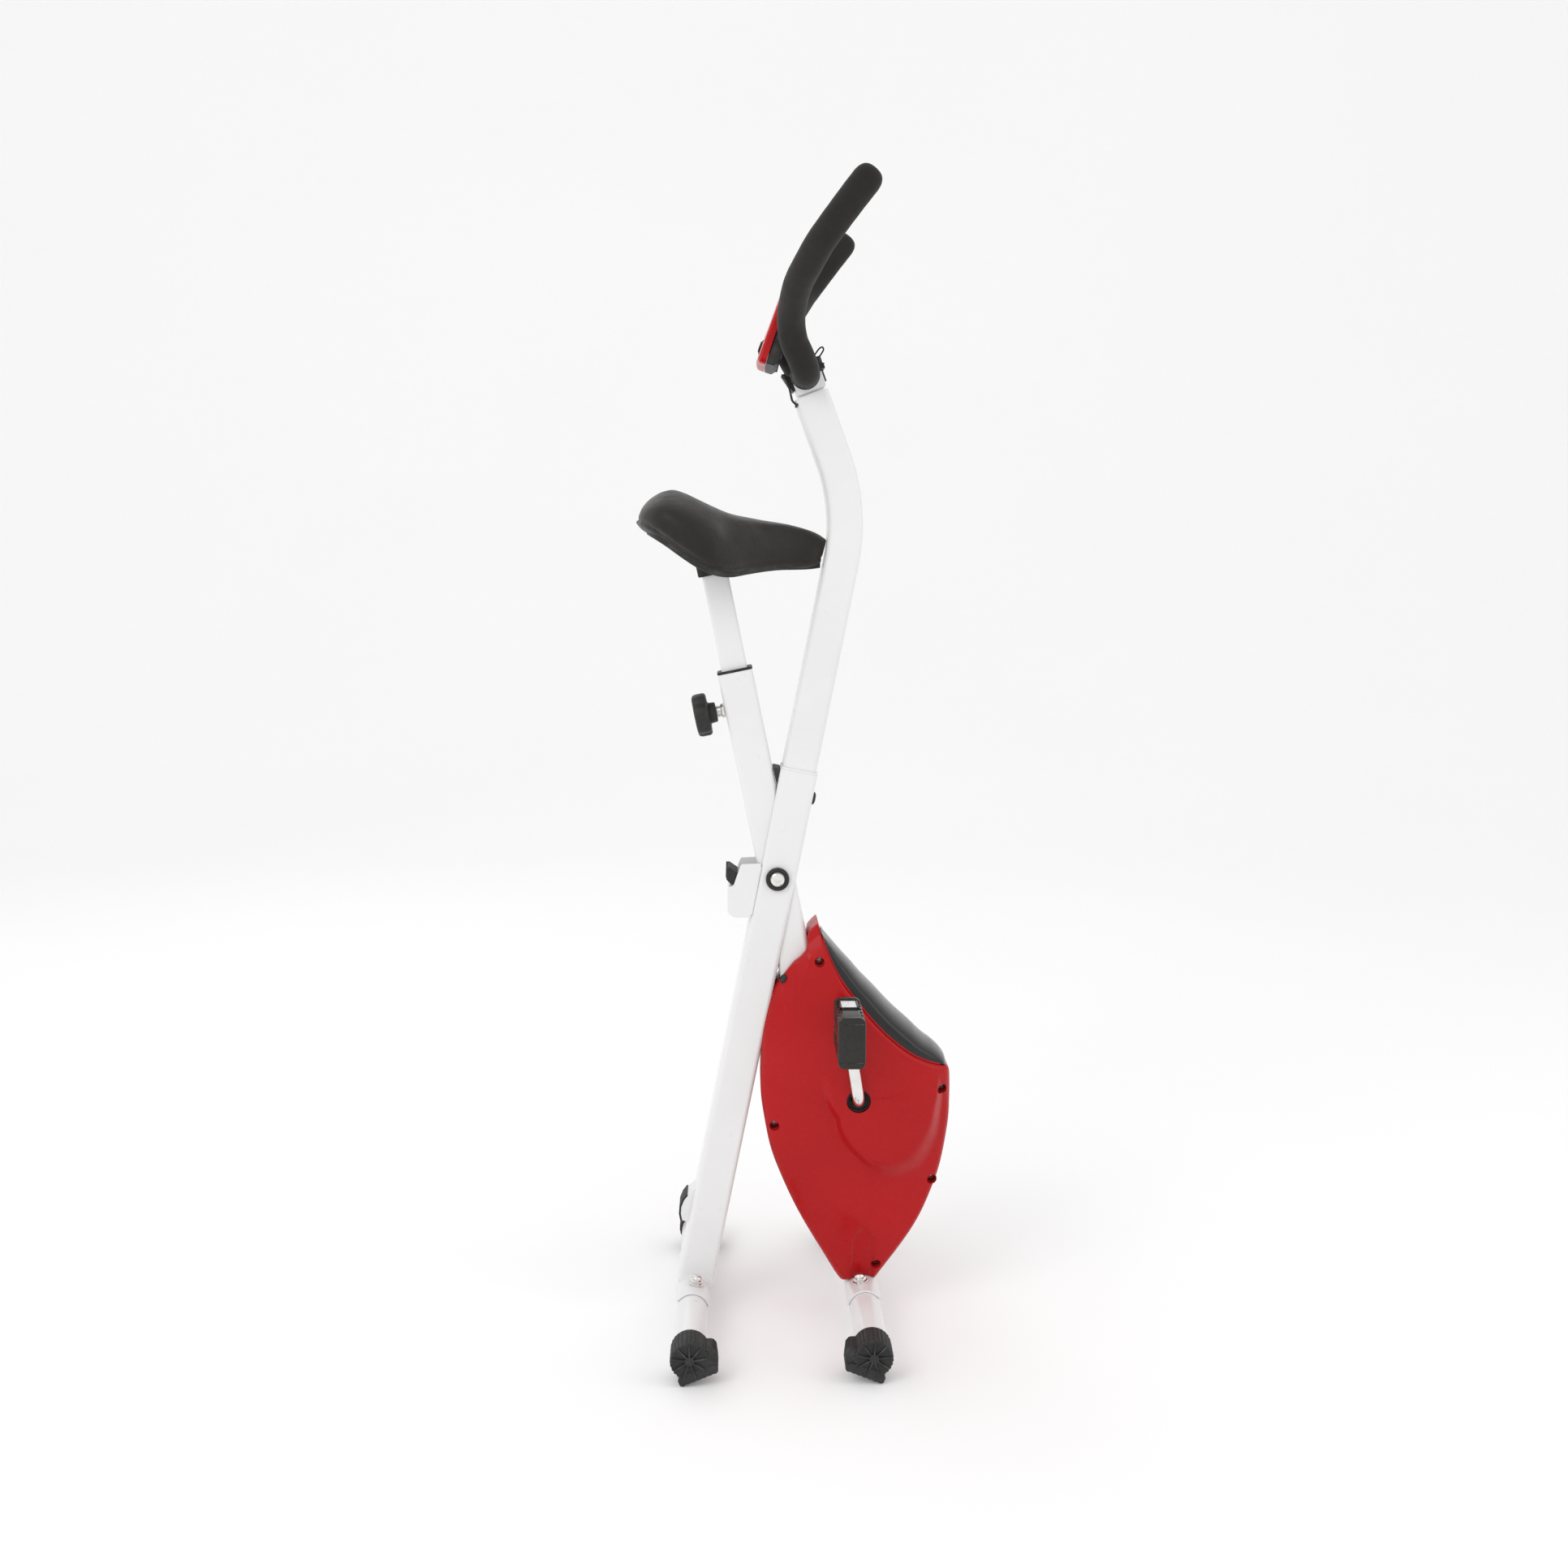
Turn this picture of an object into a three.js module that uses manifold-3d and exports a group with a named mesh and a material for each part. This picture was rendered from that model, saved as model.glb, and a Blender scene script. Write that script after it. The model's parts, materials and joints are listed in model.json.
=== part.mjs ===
// Folding exercise bike, modelled folded: two box-section frames crossed at one
// pivot, a belt drive with flywheel and magnet brake in a two-shell housing,
// a sliding seat post, a U-shaped handlebar and a display.
// Millimetres, +Z up, +X is the way the rider faces, origin on the floor below
// the middle of the overall box.
import * as THREE from 'three';
import { mergeVertices } from 'three/addons/utils/BufferGeometryUtils.js';
import Module from 'manifold-3d';

const wasm = await Module();
wasm.setup();

// ---------- driving dimensions ----------
const FRAME_SHIFT_X = -20.9;             // pivot axis to the middle of the overall box
const PIVOT_Z = 554.2;                   // height of the fold pivot, folded
const LEAN = THREE.MathUtils.degToRad(11.4);       // lean of each frame, folded
const LEAN_OPEN = THREE.MathUtils.degToRad(33.4);  // lean of each frame, unfolded
const LEG = 533.2;                       // pivot to stabiliser axis
const MAIN_W = 45, MAIN_D = 50, WALL = 1.6;        // main frame tube, in plane x across
const SEAT_W = 42, SEAT_D = 40;          // seat tube, in plane x across
const SLOT = 109;                        // half length of the crossing slot
const GAP = 0.3;
const STAB_R = 19, STAB_LEN = 406, STAB_WALL = 1.8;
const FOOT_R = 22.5, FOOT_IN = 170, FOOT_OUT = 208, FOOT_BASE = 24.9;
const SADDLE_R = 21.5;
const POST_W = 41.2, POST_D = 46.2;      // handlebar post
const BAR = new THREE.Vector3(31.5, 0, 1142);      // middle of the handlebar
const BAR_R = 12.7, GRIP_R = 16;
const SP = 31;                           // seat post, square
const COLLAR_S = 253.3;                  // top of the seat tube along its axis
const SEAT_TRAVEL_HOLES = [210, 185, 160, 135];
const KNOB_S = 210;
const CRANK = new THREE.Vector3(97, 0, 287), CRANK_LEN = 109.5, CRANK_R = 6.3;
const CRANK_ANGLE = THREE.MathUtils.degToRad(8.9);
const FLY_X = 8, FLY_S = -410;           // flywheel axis in the seat tube's own frame
const FLY_R = 62, PULLEY_R = 74, SMALL_R = 18;
const PEDAL_Y = 134;

// ---------- helpers ----------
const toSolid = (geometry, matrix) => {
  let g = geometry.clone();
  if (matrix) g.applyMatrix4(matrix);
  g.deleteAttribute('normal');
  if (g.attributes.uv) g.deleteAttribute('uv');
  g = mergeVertices(g, 1e-4);
  return new wasm.Manifold(new wasm.Mesh({
    numProp: 3,
    vertProperties: new Float32Array(g.attributes.position.array),
    triVerts: new Uint32Array(g.index.array),
  }));
};
const toGeometry = (solid) => {
  const m = solid.getMesh();
  const g = new THREE.BufferGeometry();
  const p = new Float32Array(m.numVert * 3);
  for (let i = 0; i < m.numVert; i++) for (let k = 0; k < 3; k++) p[i * 3 + k] = m.vertProperties[i * m.numProp + k];
  g.setAttribute('position', new THREE.BufferAttribute(p, 3));
  g.setIndex(new THREE.BufferAttribute(new Uint32Array(m.triVerts), 1));
  g.computeVertexNormals();
  return g;
};
const cut = (a, ...bs) => bs.reduce((s, b) => s.subtract(b), a);
const join = (a, ...bs) => bs.reduce((s, b) => s.add(b), a);
const move = (x, y, z) => new THREE.Matrix4().makeTranslation(x, y, z);
const turnY = (a) => new THREE.Matrix4().makeRotationY(a);
const turnX = (a) => new THREE.Matrix4().makeRotationX(a);
const turnZ = (a) => new THREE.Matrix4().makeRotationZ(a);
const mul = (...ms) => ms.reduce((p, m) => p.multiply(m), new THREE.Matrix4());

const roundRect = (w, h, r, Target = THREE.Shape) => {
  const s = new Target();
  s.moveTo(w / 2 - r, -h / 2);
  s.absarc(w / 2 - r, -h / 2 + r, r, -Math.PI / 2, 0, false);
  s.absarc(w / 2 - r, h / 2 - r, r, 0, Math.PI / 2, false);
  s.absarc(-w / 2 + r, h / 2 - r, r, Math.PI / 2, Math.PI, false);
  s.absarc(-w / 2 + r, -h / 2 + r, r, Math.PI, 1.5 * Math.PI, false);
  s.closePath();
  return s;
};
// solid bar of rounded rectangle along +Z from z0 to z1
const bar = (w, h, r, z0, z1, seg = 3) => toSolid(new THREE.ExtrudeGeometry(roundRect(w, h, r), { depth: z1 - z0, bevelEnabled: false, curveSegments: seg }), move(0, 0, z0));
const boxTube = (w, h, r, wall, z0, z1) => cut(bar(w, h, r, z0, z1), bar(w - 2 * wall, h - 2 * wall, Math.max(r - wall, 0.5), z0 - 1, z1 + 1, 2));
const box = (x0, x1, y0, y1, z0, z1) => toSolid(new THREE.BoxGeometry(x1 - x0, y1 - y0, z1 - z0), move((x0 + x1) / 2, (y0 + y1) / 2, (z0 + z1) / 2));
// cylinder along Y, centred at (x, z)
const cylY = (r, y0, y1, x = 0, z = 0, seg = 24) => toSolid(new THREE.CylinderGeometry(r, r, y1 - y0, seg), move(x, (y0 + y1) / 2, z));
const cylZ = (r, z0, z1, x = 0, y = 0, seg = 16) => toSolid(new THREE.CylinderGeometry(r, r, z1 - z0, seg), mul(move(x, y, (z0 + z1) / 2), turnX(Math.PI / 2)));
const cylX = (r, x0, x1, y = 0, z = 0, seg = 16) => toSolid(new THREE.CylinderGeometry(r, r, x1 - x0, seg), mul(move((x0 + x1) / 2, y, z), turnZ(Math.PI / 2)));
// outline given in X and Z, extruded from y0 to y1
const plateXZ = (pts, y0, y1, holes = []) => {
  const s = new THREE.Shape(pts.map(([x, z]) => new THREE.Vector2(x, z)));
  for (const h of holes) s.holes.push(new THREE.Path(h.map(([x, z]) => new THREE.Vector2(x, z))));
  // shape XY -> world XZ; extrusion runs towards -Y
  return toSolid(new THREE.ExtrudeGeometry(s, { depth: y1 - y0, bevelEnabled: false }), mul(move(0, y1, 0), turnX(Math.PI / 2)));
};
const lathe = (profile, seg, matrix) => toSolid(new THREE.LatheGeometry(profile.map(([r, h]) => new THREE.Vector2(r, h)), seg), matrix);

// A route made of stations: straight runs joined by arcs, one section per station.
class Route extends THREE.Curve {
  constructor(points, tangents) { super(); this.points = points; this.tangents = tangents; }
  get steps() { return this.points.length - 1; }
  at(list, u) {
    const t = THREE.MathUtils.clamp(u, 0, 1) * this.steps, i = Math.min(Math.floor(t + 1e-9), this.steps - 1), f = t - i;
    return list[i].clone().lerp(list[i + 1], Math.max(f, 0));
  }
  getPoint(u) { return this.at(this.points, u); }
  getPointAt(u) { return this.at(this.points, u); }
  getTangent(u) { return this.at(this.tangents, u).normalize(); }
  getTangentAt(u) { return this.getTangent(u); }
}
const filletRoute = (pts, radius, per = 6) => {
  const P = [pts[0].clone()], T = [pts[1].clone().sub(pts[0]).normalize()];
  for (let i = 1; i < pts.length - 1; i++) {
    const a = pts[i].clone().sub(pts[i - 1]).normalize(), b = pts[i + 1].clone().sub(pts[i]).normalize();
    const ang = a.angleTo(b), t = radius * Math.tan(ang / 2);
    const start = pts[i].clone().addScaledVector(a, -t);
    const n = b.clone().addScaledVector(a, -a.dot(b)).normalize();
    const c = start.clone().addScaledVector(n, radius);
    for (let k = 0; k <= per; k++) {
      const w = ang * k / per;
      P.push(c.clone().addScaledVector(n, -radius * Math.cos(w)).addScaledVector(a, radius * Math.sin(w)));
      T.push(a.clone().multiplyScalar(Math.cos(w)).addScaledVector(n, Math.sin(w)));
    }
  }
  const e = pts.length - 1;
  P.push(pts[e].clone()); T.push(pts[e].clone().sub(pts[e - 1]).normalize());
  return new Route(P, T);
};
const splineRoute = (curve, us) => new Route(us.map((u) => curve.getPointAt(u)), us.map((u) => curve.getTangentAt(u)));
const circleShape = (r, Target = THREE.Shape) => { const s = new Target(); s.absarc(0, 0, r, 0, Math.PI * 2, false); return s; };
const sweep = (shape, route, seg = 6) => toSolid(new THREE.ExtrudeGeometry(shape, { steps: route.steps, bevelEnabled: false, extrudePath: route, curveSegments: seg }));

// ---------- materials ----------
const mat = (color, roughness, metalness = 0) => new THREE.MeshStandardMaterial({ color, roughness, metalness });
const M = {
  white: () => mat(0xe6e6e6, 0.4, 0.1),
  red: () => mat(0xa81d20, 0.25, 0),
  gloss_black: () => mat(0x1c1b1b, 0.2, 0),
  black: () => mat(0x2a2927, 0.6, 0),
  rubber: () => mat(0x242424, 0.8, 0),
  foam: () => mat(0x363230, 0.95, 0),
  seat: () => mat(0x373330, 0.8, 0),
  chrome: () => mat(0xc8c8c8, 0.2, 1),
  steel: () => mat(0x9a9a9a, 0.4, 1),
  iron: () => mat(0x4a4a4c, 0.5, 1),
  resin: () => mat(0x312f2a, 0.6, 0),
  display: () => mat(0x10141a, 0.1, 0),
};

const bike = new THREE.Group();
bike.position.set(FRAME_SHIFT_X, 0, 0);
const mainGroup = new THREE.Group();   // own Z along the main frame tube, origin at the pivot
mainGroup.position.set(0, 0, PIVOT_Z);
mainGroup.rotation.y = LEAN;
const seatGroup = new THREE.Group();   // own Z along the seat tube, origin at the pivot
seatGroup.position.set(0, 0, PIVOT_Z);
seatGroup.rotation.y = -LEAN;
const floorGroup = new THREE.Group();  // upright pieces: X from the pivot, Z from the floor
bike.add(mainGroup, seatGroup, floorGroup);
const root = new THREE.Group();
root.add(bike);
const put = (group, name, solid, material) => {
  const mesh = new THREE.Mesh(toGeometry(solid), M[material]());
  mesh.name = name;
  group.add(mesh);
  return mesh;
};
const fromMain = mul(move(0, 0, PIVOT_Z), turnY(LEAN));
const fromSeat = mul(move(0, 0, PIVOT_Z), turnY(-LEAN));
const mainToFloor = (x, y, s) => new THREE.Vector3(x, y, s).applyMatrix4(fromMain);
const seatToFloor = (x, y, s) => new THREE.Vector3(x, y, s).applyMatrix4(fromSeat);

// ---------- main frame: handlebar post above, rear leg below ----------
put(mainGroup, 'rear_leg_tube', cut(boxTube(MAIN_W, MAIN_D, 6, WALL, -LEG + 12, -SLOT - GAP), cylY(SADDLE_R + GAP, -40, 40, 0, -LEG, 32)), 'white');
const cheek = (y0, y1) => cut(box(-MAIN_W / 2, MAIN_W / 2, y0, y1, -SLOT, SLOT), cylY(8.3, -40, 40));
put(mainGroup, 'frame_cheek_near', cheek(-MAIN_D / 2, -MAIN_D / 2 + WALL), 'white');
put(mainGroup, 'frame_cheek_far', cheek(MAIN_D / 2 - WALL, MAIN_D / 2), 'white');
const webY = MAIN_D / 2 - WALL - GAP;
put(mainGroup, 'frame_front_web', cut(box(MAIN_W / 2 - WALL, MAIN_W / 2, -webY, webY, 16, SLOT), cylX(4.4, 10, 30, 0, 101)), 'white');
put(mainGroup, 'frame_rear_web', box(-MAIN_W / 2, -MAIN_W / 2 + WALL, -webY, webY, -SLOT, -16), 'white');
put(mainGroup, 'frame_socket_tube', boxTube(MAIN_W, MAIN_D, 6, WALL, SLOT + GAP, 132), 'white');
put(mainGroup, 'fold_bumper', plateXZ([[-22.8, 113.5], [-24.0, 113.5], [-31.2, 131], [-22.8, 131]], -18, 18), 'rubber');

// the post: straight in the socket, a long bend, then leaning back to the handlebar
const d1 = new THREE.Vector3(Math.sin(LEAN), 0, Math.cos(LEAN));
const postBase = mainToFloor(0, 0, 88), postCorner = mainToFloor(0, 0, 447.1), postTop = new THREE.Vector3(39.8, 0, 1125.0);
const postRoute = filletRoute([postBase, postCorner, postTop], 226, 8);
const postOuter = sweep(roundRect(POST_D, POST_W, 7), postRoute, 2);
const postInner = sweep(roundRect(POST_D - 3.2, POST_W - 3.2, 5.4), filletRoute([postBase.clone().addScaledVector(d1, -1), postCorner, postTop.clone().add(postTop.clone().sub(postCorner).normalize())], 226, 8), 1);
// the lower end is cut slanting, clear of the seat tube
const seatFace = toSolid(new THREE.BoxGeometry(200, 100, 400), mul(fromSeat, move(SEAT_W / 2 + 1.2 - 100, 0, 100)));
put(floorGroup, 'handlebar_post', cut(postOuter, postInner, seatFace, toSolid(new THREE.CylinderGeometry(4.4, 4.4, 20, 16), mul(fromMain, move(20, 0, 101), turnZ(Math.PI / 2))), cylX(3.4, 10, 27, -18, 1112.5, 10)), 'white');
put(mainGroup, 'post_bolt', join(cylX(8, MAIN_W / 2 + GAP, MAIN_W / 2 + 4.5, 0, 101, 20), cylX(4, 13, MAIN_W / 2 + 1, 0, 101, 16)), 'black');

// stop bracket: two side plates with a cross block, capped by a rubber stop
const faceX = (z) => (z - PIVOT_Z) * Math.tan(LEAN) - MAIN_W / 2 / Math.cos(LEAN) - 0.4;
const bracketSide = [[faceX(573), 573], [-44, 572], [-53, 546], [-60, 544], [-60, 512], [-52, 507], [faceX(507), 507]];
put(floorGroup, 'stop_bracket', join(plateXZ(bracketSide, -25, -21.6), plateXZ(bracketSide, 21.6, 25), box(-60, -50, -22, 22, 512, 543.6)), 'white');
put(floorGroup, 'stop_bumper', plateXZ([[-61.6, 552.5], [-61.0, 570.2], [-47.2, 560.6], [-48.8, 556], [-53.6, 544.4]], -20, 20), 'rubber');

// pivot bolt and its near cap ring
put(mainGroup, 'pivot_bolt', join(cylY(7.9, -31.5, 26), cylY(13, MAIN_D / 2 + GAP, MAIN_D / 2 + 6)), 'chrome');
put(mainGroup, 'pivot_cap_near', cut(cylY(14, -MAIN_D / 2 - 5.5, -MAIN_D / 2 - GAP), cylY(8.3, -40, 0)), 'black');

// handlebar clamp, handlebar and foam grips
const barCyl = (r) => cylY(r, -60, 60, BAR.x, BAR.z, 20);
const dTop = postTop.clone().sub(postCorner).normalize();
const tiltTop = Math.atan2(dTop.x, dTop.z);
const barFrame = mul(move(BAR.x, 0, BAR.z), turnY(tiltTop));
const inBar = (solid) => solid.transform(barFrame.elements);
const boltHole = cylZ(4.3, -60, 60, 19.5, 0, 12);
put(floorGroup, 'handlebar_clamp_base', cut(inBar(cut(join(box(-15, 25, -23.5, 23.5, -15.4, -1)), boltHole)), barCyl(BAR_R + 0.8)), 'black');
put(floorGroup, 'handlebar_clamp_cap', cut(inBar(cut(join(cylY(16, -23.5, 23.5, 0, 0, 24), box(10, 25, -23.5, 23.5, 0.2, 6)), box(-40, 40, -40, 40, -30, 0.2), boltHole, cylZ(7.2, 6.1, 30, 19.5, 0, 16))), barCyl(BAR_R + 0.8)), 'black');
put(floorGroup, 'clamp_bolt', inBar(join(cylZ(4, -13, 10, 19.5, 0, 12), cylZ(6.5, 6.3, 17, 19.5, 0, 12))), 'black');
const half = [[31.5, 0, 1142], [31.5, -30, 1142], [31, -50, 1146], [25, -64, 1161], [17.4, -74, 1179], [13.8, -90, 1199], [15.5, -115, 1216], [20, -145, 1232], [29.5, -174, 1248], [40, -191, 1265], [47, -197, 1274.5], [61, -200, 1293], [76, -200, 1312.5], [87.6, -200, 1327]].map((p) => new THREE.Vector3(...p));
const nearHalf = new THREE.CatmullRomCurve3(half, false, 'centripetal');
const mirrorY = (v) => new THREE.Vector3(v.x, -v.y, v.z);
const whole = new THREE.CatmullRomCurve3([...half.slice(1).reverse(), ...half.map(mirrorY)].map((v) => v.clone()), false, 'centripetal');
const range = (a, b, n) => Array.from({ length: n + 1 }, (_, i) => a + (b - a) * i / n);
// stations crowd into the bends, with few on the straight tops
const barStops = [0.008, 0.05, 0.085, 0.11, 0.14, 0.17, 0.205, 0.24, 0.275, 0.31, 0.34, 0.37, 0.395, 0.42, 0.44, 0.458, 0.478, 0.5];
const barUs = [...barStops, ...barStops.slice(0, -1).reverse().map((u) => 1 - u)];
const barRoute = splineRoute(whole, barUs);
const barRouteLong = splineRoute(whole, [0.004, ...barUs.slice(1, -1), 0.996]);
put(floorGroup, 'handlebar_tube', cut(sweep(circleShape(BAR_R), barRoute, 6), sweep(circleShape(BAR_R - 1.9), barRouteLong, 4)), 'white');
const barVoid = sweep(circleShape(BAR_R + 0.45), barRouteLong, 6);
const gripSolid = (sign) => {
  // same stations as the tube, from beside the clamp to the tip
  const us = [0.457, ...barStops.slice(0, 15).reverse().map((u) => (u < 0.02 ? 0 : u))];
  const outer = sweep(circleShape(GRIP_R), splineRoute(whole, us.map((u) => (sign < 0 ? u : 1 - u)).sort((a, b) => a - b)), 6);
  const tip = toSolid(new THREE.SphereGeometry(GRIP_R, 12, 8), mul(move(87.6, sign * 200, 1327), turnY(Math.PI / 5)));
  return cut(join(outer, tip), barVoid);
};
put(floorGroup, 'grip_near', gripSolid(-1), 'foam');
put(floorGroup, 'grip_far', gripSolid(1), 'foam');

// display: own Z up its face, own X into its back
const consoleGroup = new THREE.Group();
consoleGroup.position.set(-27, 0, 1155.5);
consoleGroup.rotation.y = THREE.MathUtils.degToRad(20.5);
floorGroup.add(consoleGroup);
const inY = (pts, y0, y1) => plateXZ(pts, y0, y1);
const winY = 40, winZ0 = 42, winZ1 = 92;
put(consoleGroup, 'console_bezel', cut(inY([[0, 0], [0, 100], [5, 105], [9, 105], [12, 0]], -57, 57), box(-1, 4, -winY, winY, winZ0, winZ1), cylX(7.4, -1, 6, -18, 24, 16)), 'red');
put(consoleGroup, 'console_lens', box(1.2, 3.7, -winY + 0.4, winY - 0.4, winZ0 + 0.4, winZ1 - 0.4), 'display');
put(consoleGroup, 'console_button', cylX(6.6, -2.2, 4.2, -18, 24, 16), 'black');
put(consoleGroup, 'console_back', inY([[12.4, 1], [9.5, 103], [14, 103], [26, 60], [29, 6], [24, 1]], -53, 53), 'black');
put(floorGroup, 'console_bracket', cut(plateXZ([[3.5, 1149.0], [17, 1144.5], [21.5, 1135], [20, 1126], [14, 1134]], -14, 14), inBar(box(-15.5, 26, -24, 24, -16, -0.5)), barCyl(17)), 'black');
put(floorGroup, 'console_lead', sweep(circleShape(1.3), filletRoute([new THREE.Vector3(8, -18, 1144), new THREE.Vector3(14.5, -18, 1131), new THREE.Vector3(17.5, -18, 1117), new THREE.Vector3(23.4, -18, 1112.5)], 6, 3), 4), 'rubber');

// ---------- stabilisers and feet ----------
const stabiliser = (group, end, foot, sx) => {
  // sx -1: rear, outer side towards -X; +1: front
  const tube = cut(cylY(STAB_R, -STAB_LEN / 2, STAB_LEN / 2, 0, -LEG, 28), cylY(STAB_R - STAB_WALL, -STAB_LEN / 2 - 1, STAB_LEN / 2 + 1, 0, -LEG, 14), cylZ(4.2, -LEG - 40, -LEG + 40, 0, -47, 10), cylZ(4.2, -LEG - 40, -LEG + 40, 0, 47, 10));
  put(group, `${end}_stabiliser`, tube, 'white');
  const saddle = cut(cylY(SADDLE_R, -75, 75, 0, -LEG, 32), cylY(STAB_R + GAP, -80, 80, 0, -LEG, 32), box(-30, 30, -90, 90, -LEG - 30, -LEG + 3), cylZ(4.2, -LEG, -LEG + 40, 0, -47, 10), cylZ(4.2, -LEG, -LEG + 40, 0, 47, 10));
  put(group, `${end}_saddle`, saddle, 'white');
  for (const [side, sy] of [['near', -1], ['far', 1]]) {
    const m = move(0, 47 * sy, -LEG);
    const prof = [[0, -22.4], [6, -19.6], [3.8, -19.6], [3.8, 21.9], [8.5, 21.9], [7.5, 25.5], [0, 28.4]];
    put(group, `${end}_bolt_${side}`, lathe(prof, 10, mul(m, turnX(Math.PI / 2))), 'chrome');
    const y0 = sy < 0 ? -FOOT_OUT : FOOT_IN, y1 = sy < 0 ? -FOOT_IN : FOOT_OUT;
    const block = [[-22.5, -FOOT_BASE], [26, -FOOT_BASE], [31, -3], [28, 2], [8, 16], [-20, 6]].map(([x, z]) => [sx < 0 ? x : -x, z]);
    if (sx > 0) block.reverse();
    const f = cut(join(cylY(FOOT_R, y0, y1, 0, 0, 32), plateXZ(block, y0, y1)), cylY(STAB_R + GAP, sy < 0 ? -FOOT_OUT + 4 : 0, sy < 0 ? 0 : FOOT_OUT - 4, 0, 0, 32));
    const footGroup = new THREE.Group();
    footGroup.position.set(0, 0, -LEG);
    footGroup.rotation.y = sx * LEAN_OPEN;
    group.add(footGroup);
    put(footGroup, `${end}_foot_${side}`, f, 'rubber');
  }
};
stabiliser(mainGroup, 'rear', 'rear', -1);
stabiliser(seatGroup, 'front', 'front', 1);

// ---------- seat frame: seat tube above the pivot, front leg below ----------
const seatTube = cut(boxTube(SEAT_W, SEAT_D, 6, WALL, -LEG + 12, COLLAR_S),
  cylY(SADDLE_R + GAP, -40, 40, 0, -LEG, 32), cylY(11.3, -40, 40), cylY(8.3, -40, 40, FLY_X, FLY_S, 20), cylX(7, -30, 0, 0, KNOB_S));
put(seatGroup, 'seat_tube', seatTube, 'white');
put(seatGroup, 'pivot_bush', cut(cylY(11, -23.1, 23.1), cylY(8.25, -30, 30)), 'black');
put(seatGroup, 'sleeve_collar', cut(join(bar(SEAT_W - 3.8, SEAT_D - 3.8, 4, 190, COLLAR_S + 1), bar(SEAT_W, SEAT_D, 6, COLLAR_S + GAP, COLLAR_S + 3)), bar(SP + 0.9, SP + 0.9, 4, 180, 270, 2), cylX(7, -30, 0, 0, KNOB_S)), 'black');
put(seatGroup, 'knob_boss', cut(cylX(9, -31, -SEAT_W / 2 - GAP, 0, KNOB_S, 20), cylX(5.2, -40, 0, 0, KNOB_S, 16)), 'chrome');
put(seatGroup, 'flywheel_bush', cut(cylY(8, -22.5, 22.5, FLY_X, FLY_S, 20), cylY(6.25, -30, 30, FLY_X, FLY_S, 20)), 'steel');

// seat post, seat base and pad
let post = bar(SP, SP, 4, 95, 372);
post = cut(post, bar(SP - 3.2, SP - 3.2, 2.4, 94, 371, 2));
for (const s of SEAT_TRAVEL_HOLES) post = cut(post, cylX(4.2, -SP, 0, 0, s, 12));
put(seatGroup, 'seat_post', post, 'white');
const plan = (k, inset) => {
  const R = 122 - inset, N = 30 - inset, pts = [[-168 + inset, 0], [-166 + inset, 46], [-156 + inset, 80], [-136 + inset, 106], [-108, R - 4], [-78, R - 8], [-50, R - 28], [-24, R - 52], [0, N + 20], [24, N + 6], [44 - inset * 0.3, N], [54 - inset, N - 8], [58.5 - inset, 10], [58.5 - inset, 0]];
  const loop = [...pts, ...pts.slice(1, -1).reverse().map(([x, y]) => [x, -y])].map(([x, y]) => new THREE.Vector2(x, y));
  return toSolid(new THREE.ExtrudeGeometry(new THREE.Shape(loop), { depth: 200, bevelEnabled: false }), move(0, 0, 850));
};
const topLine = [[-169.5, 979], [-162, 992], [-148, 1004.5], [-129, 1010.5], [-110, 1006], [-92, 998], [-73, 989.5], [-54.6, 982], [-36, 978.3], [-17, 974.7], [2, 972], [20.5, 968.2], [39, 962.6], [58.6, 956]];
const botLine = [[58.6, 928], [39, 925.3], [20, 924.6], [2, 924.3], [-17, 922.5], [-36, 919.8], [-55, 917], [-74, 919.8], [-92.5, 928.2], [-111, 940.3], [-129.5, 953.4], [-148, 964.5], [-169.5, 975.5]];
const lift = (line, dz) => line.map(([x, z]) => [x, z + dz]);
const socket = bar(41, 41, 4, 366, 383).transform(fromSeat.elements);
const postVoid = bar(SP + 0.8, SP + 0.8, 4, 340, 372.4, 2).transform(fromSeat.elements);
const panLine = [...lift(botLine, 12.5), ...botLine.slice().reverse()];
const seatBase = cut(join(plateXZ(panLine, -125, 125).intersect(plan(0, 9)), socket), postVoid, box(-300, 300, -200, 200, 600, 916));
put(floorGroup, 'seat_base', cut(seatBase, sweep(roundRect(POST_D + 60, POST_W + 11, 2), postRoute, 1)), 'black');
const pad = plateXZ([...topLine, ...botLine], -125, 125).intersect(plan(0, 0));
const padVoid = join(plateXZ([...lift(botLine, 12.9), ...lift(botLine, -6).reverse()], -125, 125).intersect(plan(0, 8.4)), bar(42, 42, 4, 340, 383.6).transform(fromSeat.elements));
const postClear = sweep(roundRect(POST_D + 60, POST_W + 10, 2), postRoute, 1);
put(floorGroup, 'seat_pad', cut(pad, padVoid, postClear), 'seat');

// height knob: spring pin through the boss, round knob on it
put(seatGroup, 'seat_pin', join(cylX(4.9, -44, -SP / 2 - 0.4, 0, KNOB_S, 16)), 'steel');
put(seatGroup, 'seat_knob', cut(join(cylX(12, -40, -31.4, 0, KNOB_S, 20), toSolid(new THREE.CylinderGeometry(26, 25, 18, 28), mul(move(-49, 0, KNOB_S), turnZ(-Math.PI / 2)))), cylX(5.2, -44.4, -20, 0, KNOB_S, 16)), 'black');

// bottom bracket, bearings and crank
const HUB = CRANK;
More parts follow.
